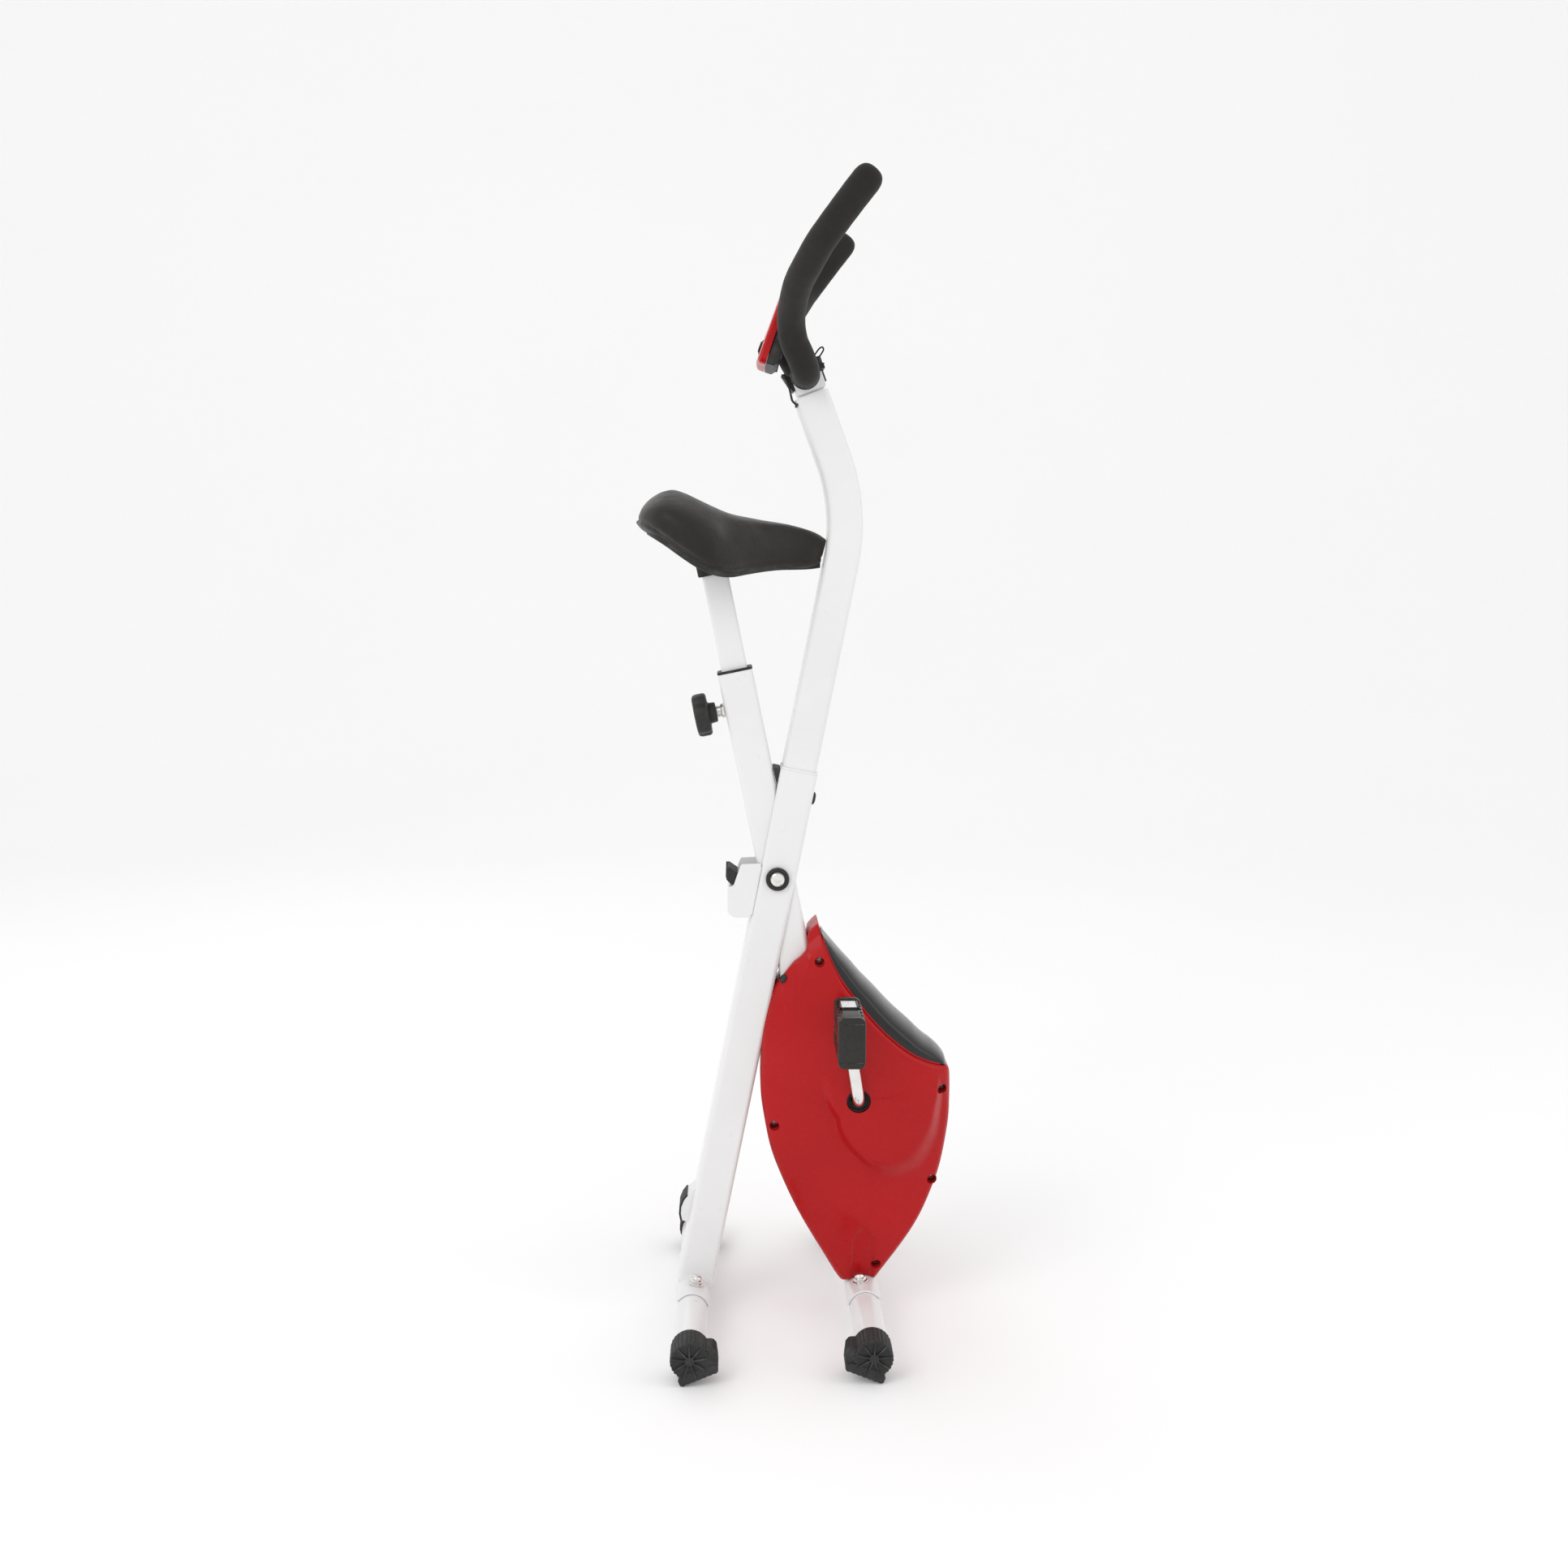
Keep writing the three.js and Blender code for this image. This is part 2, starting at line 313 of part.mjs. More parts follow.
// the shell carries a bearing in each end, pressed home for good
put(floorGroup, 'bottom_bracket', cut(cylY(20.8, -26, 26, HUB.x, HUB.z, 32), cylY(17, -13, 13, HUB.x, HUB.z, 24), cylY(6.7, -30, 30, HUB.x, HUB.z, 16)), 'steel');
const up = new THREE.Vector3(-Math.sin(CRANK_ANGLE), 0, Math.cos(CRANK_ANGLE));
const nearEye = HUB.clone().addScaledVector(up, CRANK_LEN), farEye = HUB.clone().addScaledVector(up, -CRANK_LEN);
const at = (v, y) => new THREE.Vector3(v.x, y, v.z);
const crankRoute = filletRoute([at(nearEye, -72), at(HUB, -72), at(HUB, 72), at(farEye, 72)], 18, 6);
const crankSolid = join(sweep(circleShape(CRANK_R), crankRoute, 5),
  cylY(9, -79, -66, nearEye.x, nearEye.z, 16), cylY(9, 66, 79, farEye.x, farEye.z, 16),
  cylY(4.8, -172, -70, nearEye.x, nearEye.z, 14), cylY(4.8, 70, 172, farEye.x, farEye.z, 14));
put(floorGroup, 'crank', crankSolid, 'chrome');
put(floorGroup, 'drive_pulley', lathe([[6.6, -4.5], [20, -4.5], [22, -2.2], [66, -2.2], [PULLEY_R, -5], [PULLEY_R, 5], [66, 2.2], [22, 2.2], [20, 4.5], [6.6, 4.5], [6.6, -4.5]], 32, move(HUB.x, -34, HUB.z)), 'gloss_black');

// pedals: block with a bored middle, 60 long, 32 thick, 92 wide
const pedal = (eye, sy) => {
  const y0 = sy < 0 ? -180 : 88, y1 = sy < 0 ? -88 : 180;
  const body = bar(32, 60, 7, y0, y1, 2).transform(mul(turnX(-Math.PI / 2)).elements).transform(move(0, 0, 0).elements);
  const placed = body.transform(mul(move(eye.x, 0, eye.z)).elements);
  return cut(placed, cylY(5.1, sy < 0 ? -174 : 60, sy < 0 ? -60 : 174, eye.x, eye.z, 16));
};
put(floorGroup, 'pedal_near', pedal(nearEye, -1), 'resin');
put(floorGroup, 'pedal_far', pedal(farEye, 1), 'resin');

// flywheel with its axle and small pulley, belt, magnet brake
const fly = seatToFloor(FLY_X, 0, FLY_S);
put(floorGroup, 'flywheel', lathe([[6.3, -10], [16, -10], [18, -5], [42, -5], [46, -8], [FLY_R, -8], [FLY_R, 8], [18, 8], [16, 10], [6.3, 10], [6.3, -10]], 32, move(fly.x, 33.5, fly.z)), 'iron');
put(floorGroup, 'flywheel_axle', lathe([[0, -45], [6, -45], [6, -40], [SMALL_R, -40], [SMALL_R, -28], [9, -28], [9, -24], [6, -24], [6, 46], [0, 46]], 18, move(fly.x, 0, fly.z)), 'steel');
const beltLoop = (ra, rb) => {
  const dx = fly.x - HUB.x, dz = fly.z - HUB.z, d = Math.hypot(dx, dz), base = Math.atan2(dz, dx), beta = Math.acos((ra - rb) / d);
  const pts = [];
  for (const a of range(base + beta, base + 2 * Math.PI - beta, 24)) pts.push([HUB.x + ra * Math.cos(a), HUB.z + ra * Math.sin(a)]);
  for (const a of range(base - beta, base + beta, 8)) pts.push([fly.x + rb * Math.cos(a), fly.z + rb * Math.sin(a)]);
  return pts;
};
put(floorGroup, 'drive_belt', plateXZ(beltLoop(PULLEY_R + 2.6, SMALL_R + 2.6), -39, -29, [beltLoop(PULLEY_R + 0.35, SMALL_R + 0.35)]), 'rubber');
const arcPts = (c, r, a0, a1, n) => range(a0, a1, n).map((a) => [c.x + r * Math.cos(a), c.z + r * Math.sin(a)]);
const deg = THREE.MathUtils.degToRad;
const brakePivot = new THREE.Vector3(fly.x + 75 * Math.cos(deg(84)), 0, fly.z + 75 * Math.sin(deg(84)));
put(floorGroup, 'magnet_bracket', cut(join(plateXZ([...arcPts(fly, 64.6, deg(22), deg(84), 8), ...arcPts(fly, 72, deg(84), deg(22), 8)], 25.5, 41.5), cylY(6.5, 25.5, 41.5, brakePivot.x, brakePivot.z, 16)), cylY(3.2, 20, 50, brakePivot.x, brakePivot.z, 12)), 'steel');

// ---------- housing ----------
// outline as seen from the side; the top right edge is hollow and carries the cover
const concave = [[49.5, 497], [55.9, 475.2], [68.9, 445], [80, 427], [93.8, 409.7], [106.8, 392.6], [125.3, 372.1], [143.6, 355.2], [163.5, 340.3], [183.5, 330], [205.5, 324]];
const outline = [...concave, [209.5, 303], [209.8, 271.5], [209.5, 240], [205, 214], [197, 178], [184, 146], [169, 114.5], [149.6, 83], [134, 63], [122, 52], [100, 48], [84, 48], [76, 51], [65, 58], [43, 90], [24, 122], [8, 154], [-4, 190], [-11, 218], [-16, 249], [-18, 281], [-18, 312], [-17, 343], [-14.2, 359], [-12.2, 374], [-9, 390], [-5, 405], [3, 420], [13, 435], [25, 451], [33, 462], [37, 484]];
const inset = (pts, d) => pts.map((p, i) => {
  const a = pts[(i + pts.length - 1) % pts.length], b = pts[(i + 1) % pts.length];
  const u = new THREE.Vector2(p[0] - a[0], p[1] - a[1]).normalize(), v = new THREE.Vector2(b[0] - p[0], b[1] - p[1]).normalize();
  const n = new THREE.Vector2(u.y + v.y, -u.x - v.x).normalize();       // inwards on a clockwise loop
  const k = d / Math.max(0.5, Math.sqrt((1 + u.dot(v)) / 2));
  return [p[0] + n.x * k, p[1] + n.y * k];
});
const BULGE = { x: 95, z: 268, rx: 137, ry: 63, rz: 262 }, PLATEAU = 58;
const lens = (d) => toSolid(new THREE.SphereGeometry(1, 28, 16), mul(move(BULGE.x, 0, BULGE.z), new THREE.Matrix4().makeScale(BULGE.rx - d * 0.6, BULGE.ry - d, BULGE.rz - d * 0.6), turnX(Math.PI / 2)));
const mirrorSolid = (s) => s.transform(new THREE.Matrix4().makeScale(1, -1, 1).elements);
const tubeVoid = bar(SEAT_W + 1, SEAT_D + 1, 6.4, -540, 60, 2).transform(fromSeat.elements);
const frontAxle = seatToFloor(0, 0, -LEG);
const shell = () => {
  const outer = plateXZ(outline, -PLATEAU, -0.2).intersect(lens(0));
  const inner = plateXZ(inset(outline, 2.6), -PLATEAU + 2.6, 1).intersect(lens(2.6));
  return cut(outer, inner, tubeVoid, cylY(14.5, -70, 0, HUB.x, HUB.z, 28), cylY(SADDLE_R + 1, -70, 10, frontAxle.x, frontAxle.z, 32));
};
const nearShell = shell();
put(floorGroup, 'housing_shell_near', nearShell, 'red');
const farShell = cut(mirrorSolid(nearShell), cylY(5.4, 20, 80, 34, 418, 14));
put(floorGroup, 'housing_shell_far', farShell, 'red');
// cover over the hollow edge, rounded across
const coverTop = [[206.6, 325.2], [200.7, 335.6], [181.3, 351.8], [165.1, 367.5], [147.8, 383.1], [132.6, 398.7], [118.5, 414.2], [103.4, 429.7], [90.3, 445.2], [76.3, 460.6], [64.3, 474.5], [55.5, 484]];
const coverLow = concave.slice(1, -1).map(([x, z]) => [x + 0.45, z + 0.6]);
put(floorGroup, 'housing_top_cover', plateXZ([...coverLow, ...coverTop], -22, 22), 'gloss_black');

// tension knob on the far side of the housing
const knobAt = { x: 34, z: 418 };
put(floorGroup, 'tension_knob', join(cylY(5, 36, 62, knobAt.x, knobAt.z, 14), cylY(15, 61, 78, knobAt.x, knobAt.z, 20)), 'black');

export default root;
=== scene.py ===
import bpy, bmesh, math, json
import numpy as np
from mathutils import Vector, Matrix


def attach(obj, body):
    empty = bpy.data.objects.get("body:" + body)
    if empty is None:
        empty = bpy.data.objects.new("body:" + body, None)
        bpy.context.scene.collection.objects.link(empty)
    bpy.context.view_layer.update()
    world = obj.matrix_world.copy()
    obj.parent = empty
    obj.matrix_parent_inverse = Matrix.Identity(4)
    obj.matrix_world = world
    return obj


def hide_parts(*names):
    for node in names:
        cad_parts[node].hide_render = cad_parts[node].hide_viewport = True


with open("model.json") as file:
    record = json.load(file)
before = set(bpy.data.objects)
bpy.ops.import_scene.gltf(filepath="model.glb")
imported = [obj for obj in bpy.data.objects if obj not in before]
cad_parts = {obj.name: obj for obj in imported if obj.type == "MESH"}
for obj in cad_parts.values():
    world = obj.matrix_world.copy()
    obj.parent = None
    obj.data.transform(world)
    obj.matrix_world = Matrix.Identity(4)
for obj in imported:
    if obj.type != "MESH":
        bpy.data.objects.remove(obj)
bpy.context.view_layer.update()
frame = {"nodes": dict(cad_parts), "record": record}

radians, cos, sin, pi = math.radians, math.cos, math.sin, math.pi
scene = bpy.context.scene

# ------------------------------------------------------------------ frames
# lengths below are millimetres; every mesh is scaled to metres when its object is made
FX, PZ, LEAN, LEG = -20.9, 554.2, radians(11.4), 533.2
C, Sn = cos(LEAN), sin(LEAN)
M_MAIN = Matrix(((C, 0, Sn, FX), (0, 1, 0, 0), (-Sn, 0, C, PZ), (0, 0, 0, 1)))
M_SEAT = Matrix(((C, 0, -Sn, FX), (0, 1, 0, 0), (Sn, 0, C, PZ), (0, 0, 0, 1)))
M_FLOOR = Matrix.Translation((FX, 0, 0))


def main_at(x, y, k):
    return M_MAIN @ Vector((x, y, k))


def seat_at(x, y, k):
    return M_SEAT @ Vector((x, y, k))


def floor_at(x, y, z):
    return M_FLOOR @ Vector((x, y, z))


def aim(origin, z, x=(0, 0, 1)):
    """Matrix with its own Z along z and its own X as near to x as can be."""
    z = Vector(z).normalized()
    x = Vector(x)
    x = x - z * x.dot(z)
    if x.length < 1e-5:
        x = Vector((1, 0, 0)) - z * z.x
    x.normalize()
    y = z.cross(x)
    m = Matrix((x, y, z)).transposed().to_4x4()
    m.translation = Vector(origin)
    return m


# ------------------------------------------------------------------ node materials
def principled(name):
    m = bpy.data.materials.new(name)
    m.use_nodes = True
    nt = m.node_tree
    return m, nt, nt.nodes["Principled BSDF"]


def node(nt, kind, **sockets):
    n = nt.nodes.new(kind)
    for k, v in sockets.items():
        n.inputs[k.replace("_", " ")].default_value = v
    return n


def ramp(nt, stops):
    n = nt.nodes.new("ShaderNodeValToRGB")
    e = n.color_ramp.elements
    e[0].position, e[0].color = stops[0][0], stops[0][1]
    e[1].position, e[1].color = stops[-1][0], stops[-1][1]
    for pos, col in stops[1:-1]:
        x = e.new(pos)
        x.color = col
    return n


def rgba(c, k=1.0):
    return (min(1, c[0] * k), min(1, c[1] * k), min(1, c[2] * k), 1)


def finish_mat(name, col, dark=0.86, light=1.1, patch=14.0, rough=0.4, rough_to=None, metal=0.0, coat=0.0,
               coat_rough=0.06, spec=0.5, grain="noise", size=900.0, depth=0.00003, strength=0.5, stretch=(1, 1, 1),
               speck=None, speck_size=260.0, speck_at=0.72, scratch=0.0, wear=None, sheen=0.0, wave=0.0):
    """A finish with colour patches, grain, a rougher and a smoother state, fine scratches and worn edges."""
    m, nt, b = principled(name)
    L = nt.links.new
    tc = node(nt, "ShaderNodeTexCoord")
    mp = node(nt, "ShaderNodeMapping")
    mp.inputs["Scale"].default_value = stretch
    L(tc.outputs["Object"], mp.inputs["Vector"])
    # colour: slow patches, then specks, then worn edges
    n1 = node(nt, "ShaderNodeTexNoise", Scale=patch, Detail=4.0, Roughness=0.6)
    L(tc.outputs["Object"], n1.inputs["Vector"])
    cr = ramp(nt, [(0.3, rgba(col, dark)), (0.5, rgba(col)), (0.7, rgba(col, light))])
    L(n1.outputs["Fac"], cr.inputs["Fac"])
    colour = cr.outputs["Color"]
    if speck:
        n2 = node(nt, "ShaderNodeTexNoise", Scale=speck_size, Detail=3.0, Roughness=0.7)
        L(tc.outputs["Object"], n2.inputs["Vector"])
        mr = node(nt, "ShaderNodeMapRange")
        mr.inputs["From Min"].default_value = speck_at
        mr.inputs["From Max"].default_value = speck_at + 0.06
        L(n2.outputs["Fac"], mr.inputs["Value"])
        mx = nt.nodes.new("ShaderNodeMix")
        mx.data_type = "RGBA"
        L(mr.outputs["Result"], mx.inputs[0])
        L(colour, mx.inputs[6])
        mx.inputs[7].default_value = rgba(speck)
        colour = mx.outputs[2]
    if wear:
        g = node(nt, "ShaderNodeNewGeometry")
        wr = node(nt, "ShaderNodeMapRange")
        wr.inputs["From Min"].default_value = 0.53
        wr.inputs["From Max"].default_value = 0.62
        L(g.outputs["Pointiness"], wr.inputs["Value"])
        wn = node(nt, "ShaderNodeTexNoise", Scale=90.0, Detail=5.0)
        L(tc.outputs["Object"], wn.inputs["Vector"])
        wm = node(nt, "ShaderNodeMapRange")
        wm.inputs["From Min"].default_value = 0.45
        wm.inputs["From Max"].default_value = 0.65
        wm.inputs["To Max"].default_value = wear[3] if len(wear) > 3 else 0.6
        L(wn.outputs["Fac"], wm.inputs["Value"])
        mm = node(nt, "ShaderNodeMath")
        mm.operation = "MULTIPLY"
        L(wr.outputs["Result"], mm.inputs[0])
        L(wm.outputs["Result"], mm.inputs[1])
        mx = nt.nodes.new("ShaderNodeMix")
        mx.data_type = "RGBA"
        L(mm.outputs[0], mx.inputs[0])
        L(colour, mx.inputs[6])
        mx.inputs[7].default_value = rgba(wear)
        colour = mx.outputs[2]
    L(colour, b.inputs["Base Color"])
    # roughness
    n3 = node(nt, "ShaderNodeTexNoise", Scale=patch * 4.5, Detail=6.0, Roughness=0.65)
    L(tc.outputs["Object"], n3.inputs["Vector"])
    rr = node(nt, "ShaderNodeMapRange")
    rr.inputs["From Min"].default_value = 0.3
    rr.inputs["From Max"].default_value = 0.7
    rr.inputs["To Min"].default_value = rough
    rr.inputs["To Max"].default_value = rough_to if rough_to is not None else min(1.0, rough * 1.3 + 0.02)
    L(n3.outputs["Fac"], rr.inputs["Value"])
    L(rr.outputs["Result"], b.inputs["Roughness"])
    # height
    if grain == "leather":
        v = node(nt, "ShaderNodeTexVoronoi", Scale=size)
        v.feature = "SMOOTH_F1"
        L(mp.outputs["Vector"], v.inputs["Vector"])
        v2 = node(nt, "ShaderNodeTexNoise", Scale=size * 0.35, Detail=3.0)
        L(mp.outputs["Vector"], v2.inputs["Vector"])
        h = node(nt, "ShaderNodeMath")
        h.operation = "ADD"
        L(v.outputs["Distance"], h.inputs[0])
        L(v2.outputs["Fac"], h.inputs[1])
        height = h.outputs[0]
    elif grain == "foam":
        v = node(nt, "ShaderNodeTexVoronoi", Scale=size)
        L(mp.outputs["Vector"], v.inputs["Vector"])
        v2 = node(nt, "ShaderNodeTexNoise", Scale=size * 1.7, Detail=2.0)
        L(mp.outputs["Vector"], v2.inputs["Vector"])
        h = node(nt, "ShaderNodeMath")
        h.operation = "MULTIPLY"
        L(v.outputs["Distance"], h.inputs[0])
        L(v2.outputs["Fac"], h.inputs[1])
        height = h.outputs[0]
    else:
        v = node(nt, "ShaderNodeTexNoise", Scale=size, Detail=3.0, Roughness=0.55)
        L(mp.outputs["Vector"], v.inputs["Vector"])
        height = v.outputs["Fac"]
    bump = node(nt, "ShaderNodeBump", Strength=strength, Distance=depth)
    L(height, bump.inputs["Height"])
    last = bump
    if wave:
        w = node(nt, "ShaderNodeTexNoise", Scale=22.0, Detail=1.0)
        L(tc.outputs["Object"], w.inputs["Vector"])
        b2 = node(nt, "ShaderNodeBump", Strength=0.35, Distance=wave)
        L(w.outputs["Fac"], b2.inputs["Height"])
        L(bump.outputs["Normal"], b2.inputs["Normal"])
        last = b2
    if scratch:
        w = node(nt, "ShaderNodeMapping")
        w.inputs["Scale"].default_value = (8, 8, 90)
        w.inputs["Rotation"].default_value = (0.35, 0.2, 0.9)
        L(tc.outputs["Object"], w.inputs["Vector"])
        s = node(nt, "ShaderNodeTexNoise", Scale=14.0, Detail=8.0, Roughness=0.8)
        L(w.outputs["Vector"], s.inputs["Vector"])
        sr = node(nt, "ShaderNodeMapRange")
        sr.inputs["From Min"].default_value = 0.66
        sr.inputs["From Max"].default_value = 0.72
        L(s.outputs["Fac"], sr.inputs["Value"])
        b3 = node(nt, "ShaderNodeBump", Strength=0.25, Distance=scratch)
        b3.invert = True
        L(sr.outputs["Result"], b3.inputs["Height"])
        L(last.outputs["Normal"], b3.inputs["Normal"])
        last = b3
    L(last.outputs["Normal"], b.inputs["Normal"])
    b.inputs["Metallic"].default_value = metal
    b.inputs["Coat Weight"].default_value = coat
    b.inputs["Coat Roughness"].default_value = coat_rough
    b.inputs["Specular IOR Level"].default_value = spec
    b.inputs["Sheen Weight"].default_value = sheen
    b.inputs["Sheen Roughness"].default_value = 0.5
    return m


MAT = {
    "white_paint": finish_mat("white_paint", (0.80, 0.795, 0.795), 0.975, 1.02, 9, 0.26, 0.36, coat=0.25, coat_rough=0.12,
                              size=520, depth=0.00005, strength=0.35, speck=(0.70, 0.70, 0.69), speck_size=420, speck_at=0.76,
                              scratch=0.00002),
    "red_shell": finish_mat("red_shell", (0.430, 0.0085, 0.0105), 0.93, 1.06, 7, 0.22, 0.32, coat=0.06, coat_rough=0.06, spec=0.14,
                            size=1300, depth=0.00001, strength=0.25, wave=0.00022, scratch=0.00002,
                            speck=(0.47, 0.05, 0.05), speck_size=900, speck_at=0.78),
    "black_gloss": finish_mat("black_gloss", (0.012, 0.0112, 0.011), 0.8, 1.25, 12, 0.18, 0.28, coat=0.12, coat_rough=0.1, spec=0.35,
                              size=1500, depth=0.00001, strength=0.2, wave=0.0002, scratch=0.00002,
                              speck=(0.05, 0.05, 0.05), speck_size=700, speck_at=0.76),
    "black_plastic": finish_mat("black_plastic", (0.021, 0.021, 0.020), 0.8, 1.2, 25, 0.42, 0.58, size=1500, depth=0.00006,
                                strength=0.5, wear=(0.09, 0.09, 0.088, 0.5), spec=0.32),
    "rubber_black": finish_mat("rubber_black", (0.018, 0.018, 0.018), 0.75, 1.35, 40, 0.55, 0.8, size=1100, depth=0.00008,
                               strength=0.55, speck=(0.05, 0.048, 0.045), speck_size=300, speck_at=0.7,
                               wear=(0.10, 0.10, 0.10, 0.6)),
    "foam_grip": finish_mat("foam_grip", (0.0235, 0.0215, 0.0205), 0.86, 1.18, 22, 0.92, 1.0, grain="foam", size=780,
                            depth=0.00035, strength=0.75, speck=(0.075, 0.072, 0.068), speck_size=1000, speck_at=0.66, sheen=0.12,
                            spec=0.15),
    "seat_cover": finish_mat("seat_cover", (0.0145, 0.0118, 0.0100), 0.82, 1.2, 11, 0.40, 0.56, grain="leather", size=560,
                             depth=0.00022, strength=0.6, spec=0.24, sheen=0.11, wear=(0.07, 0.063, 0.058, 0.35)),
    "chrome": finish_mat("chrome", (0.80, 0.79, 0.77), 0.92, 1.04, 30, 0.13, 0.24, metal=1.0, size=900, depth=0.00001,
                         strength=0.25, speck=(0.45, 0.44, 0.42), speck_size=500, speck_at=0.75, scratch=0.00003),
    "steel": finish_mat("steel", (0.52, 0.51, 0.50), 0.85, 1.1, 30, 0.32, 0.46, metal=1.0, size=300, depth=0.00003,
                        strength=0.4, stretch=(1, 12, 1), scratch=0.00003),
    "iron": finish_mat("iron", (0.16, 0.16, 0.165), 0.7, 1.3, 40, 0.5, 0.75, metal=1.0, size=420, depth=0.0002, strength=0.6,
                       speck=(0.20, 0.11, 0.06), speck_size=120, speck_at=0.7),
    "pedal_resin": finish_mat("pedal_resin", (0.015, 0.0138, 0.0112), 0.85, 1.15, 20, 0.20, 0.30, spec=0.38, size=1300, depth=0.00005,
                              strength=0.45, wear=(0.13, 0.12, 0.11, 0.55), scratch=0.00004),
    "display_lens": finish_mat("display_lens", (0.008, 0.010, 0.013), 0.7, 1.3, 10, 0.06, 0.12, coat=0.6, coat_rough=0.03,
                               size=1200, depth=0.000005, strength=0.2, scratch=0.00001),
    "lcd": finish_mat("lcd", (0.30, 0.35, 0.29), 0.94, 1.05, 20, 0.22, 0.3, size=2500, depth=0.00001, strength=0.2),
    "lcd_ink": finish_mat("lcd_ink", (0.02, 0.022, 0.022), 0.9, 1.1, 60, 0.35, 0.45, size=1800, depth=0.00001, strength=0.2),
    "reflector": finish_mat("reflector", (0.82, 0.82, 0.80), 0.93, 1.05, 80, 0.12, 0.2, coat=0.8, coat_rough=0.03,
                            grain="leather", size=620, depth=0.0002, strength=0.5),
    "clear_grey": finish_mat("clear_grey", (0.30, 0.30, 0.30), 0.9, 1.1, 30, 0.35, 0.45, size=900, depth=0.00003, strength=0.4),
}


# ------------------------------------------------------------------ mesh helpers
def piece(name, bm, body, slot, nodes=(), angle=34, weighted=True, mat=None, weld=0.004):
    """Turns a bmesh in millimetres into a piece that rides on body."""
    if weld:
        bmesh.ops.remove_doubles(bm, verts=bm.verts, dist=weld)
    bmesh.ops.recalc_face_normals(bm, faces=bm.faces)
    bmesh.ops.scale(bm, vec=(0.001,) * 3, verts=bm.verts)
    me = bpy.data.meshes.new(name)
    bm.to_mesh(me)
    bm.free()
    return dress(bpy.data.objects.new(name, me), body, slot, nodes, angle, weighted, mat)


def dress(ob, body, slot, nodes=(), angle=34, weighted=True, mat=None):
    if ob.name not in scene.collection.objects:
        scene.collection.objects.link(ob)
    me = ob.data
    me.materials.clear()
    me.materials.append(MAT[mat or slot])
    for p in me.polygons:
        p.use_smooth = True
        p.material_index = 0
    me.set_sharp_from_angle(angle=radians(angle))
    if weighted:
        w = ob.modifiers.new("normals", "WEIGHTED_NORMAL")
        w.keep_sharp = True
        w.weight = 70
    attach(ob, body)
    if nodes:
        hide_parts(*nodes)
    return ob


def bevel(bm, w, seg=3, ang=28, keep=None):
    bmesh.ops.remove_doubles(bm, verts=bm.verts, dist=0.004)
    bmesh.ops.recalc_face_normals(bm, faces=bm.faces)
    es = [e for e in bm.edges if len(e.link_faces) == 2 and e.calc_face_angle(0) > radians(ang) and (keep is None or keep(e))]
    bmesh.ops.bevel(bm, geom=es, offset=w, offset_type="OFFSET", segments=seg, profile=0.5, affect="EDGES", clamp_overlap=True)


def rings(bm, rows, closed=True, cap0=True, cap1=True):
    """Joins rows of points into quads; a one-point row is a fan's tip."""
    vs = [[bm.verts.new(p) for p in r] for r in rows]
    for a, b in zip(vs, vs[1:]):
        n = max(len(a), len(b))
        for i in range(n if closed else n - 1):
            j = (i + 1) % n
            if len(a) == 1:
                bm.faces.new((a[0], b[j], b[i]))
            elif len(b) == 1:
                bm.faces.new((a[i], a[j], b[0]))
            else:
                bm.faces.new((a[i], a[j], b[j], b[i]))
    if closed and cap0 and len(vs[0]) > 2:
        bm.faces.new(list(reversed(vs[0])))
    if closed and cap1 and len(vs[-1]) > 2:
        bm.faces.new(vs[-1])
    return vs


def lathe(bm, prof, seg, M, rfun=None, loop=False):
    """Profile of (radius, height) about M's own Z. loop: the profile closes on itself."""
    rows = []
    for i, (r, h) in enumerate(prof):
        if r < 1e-6:
            rows.append([M @ Vector((0, 0, h))])
        else:
            rows.append([M @ Vector(((rfun(r, t, i) if rfun else r) * cos(t), (rfun(r, t, i) if rfun else r) * sin(t), h))
                         for t in (2 * pi * k / seg for k in range(seg))])
    if loop:
        rows.append(rows[0])
    rings(bm, rows, True, not loop, not loop)


def rrect(w, h, r, seg=6):
    out = []
    for cx, cy, a0 in ((w / 2 - r, h / 2 - r, 0), (-w / 2 + r, h / 2 - r, 90), (-w / 2 + r, -h / 2 + r, 180), (w / 2 - r, -h / 2 + r, 270)):
        for k in range(seg + 1):
            a = radians(a0 + 90 * k / seg)
            out.append((cx + r * cos(a), cy + r * sin(a)))
    return out


def circle(r, n):
    return [(r * cos(2 * pi * k / n), r * sin(2 * pi * k / n)) for k in range(n)]


def round_poly(pts, r, seg=4):
    """Outline with its corners rounded; r is one radius or one for each corner."""
    out, n = [], len(pts)
    for i in range(n):
        p, a, b = Vector(pts[i]), Vector(pts[i - 1]), Vector(pts[(i + 1) % n])
        ri = r[i] if isinstance(r, (list, tuple)) else r
        u, v = (a - p), (b - p)
        lu, lv = u.length, v.length
        u.normalize()
        v.normalize()
        ang = u.angle(v)
        if ri <= 0 or ang > radians(172):
            out.append((p.x, p.y))
            continue
        t = min(ri / math.tan(ang / 2), lu * 0.48, lv * 0.48)
        rr = t * math.tan(ang / 2)
        cen = p + (u + v).normalized() * (rr / sin(ang / 2))
        s0, s1 = p + u * t - cen, p + v * t - cen
        a0, a1 = math.atan2(s0.y, s0.x), math.atan2(s1.y, s1.x)
        d = (a1 - a0 + pi) % (2 * pi) - pi
        for k in range(seg + 1):
            w = a0 + d * k / seg
            out.append((cen.x + rr * cos(w), cen.y + rr * sin(w)))
    return out


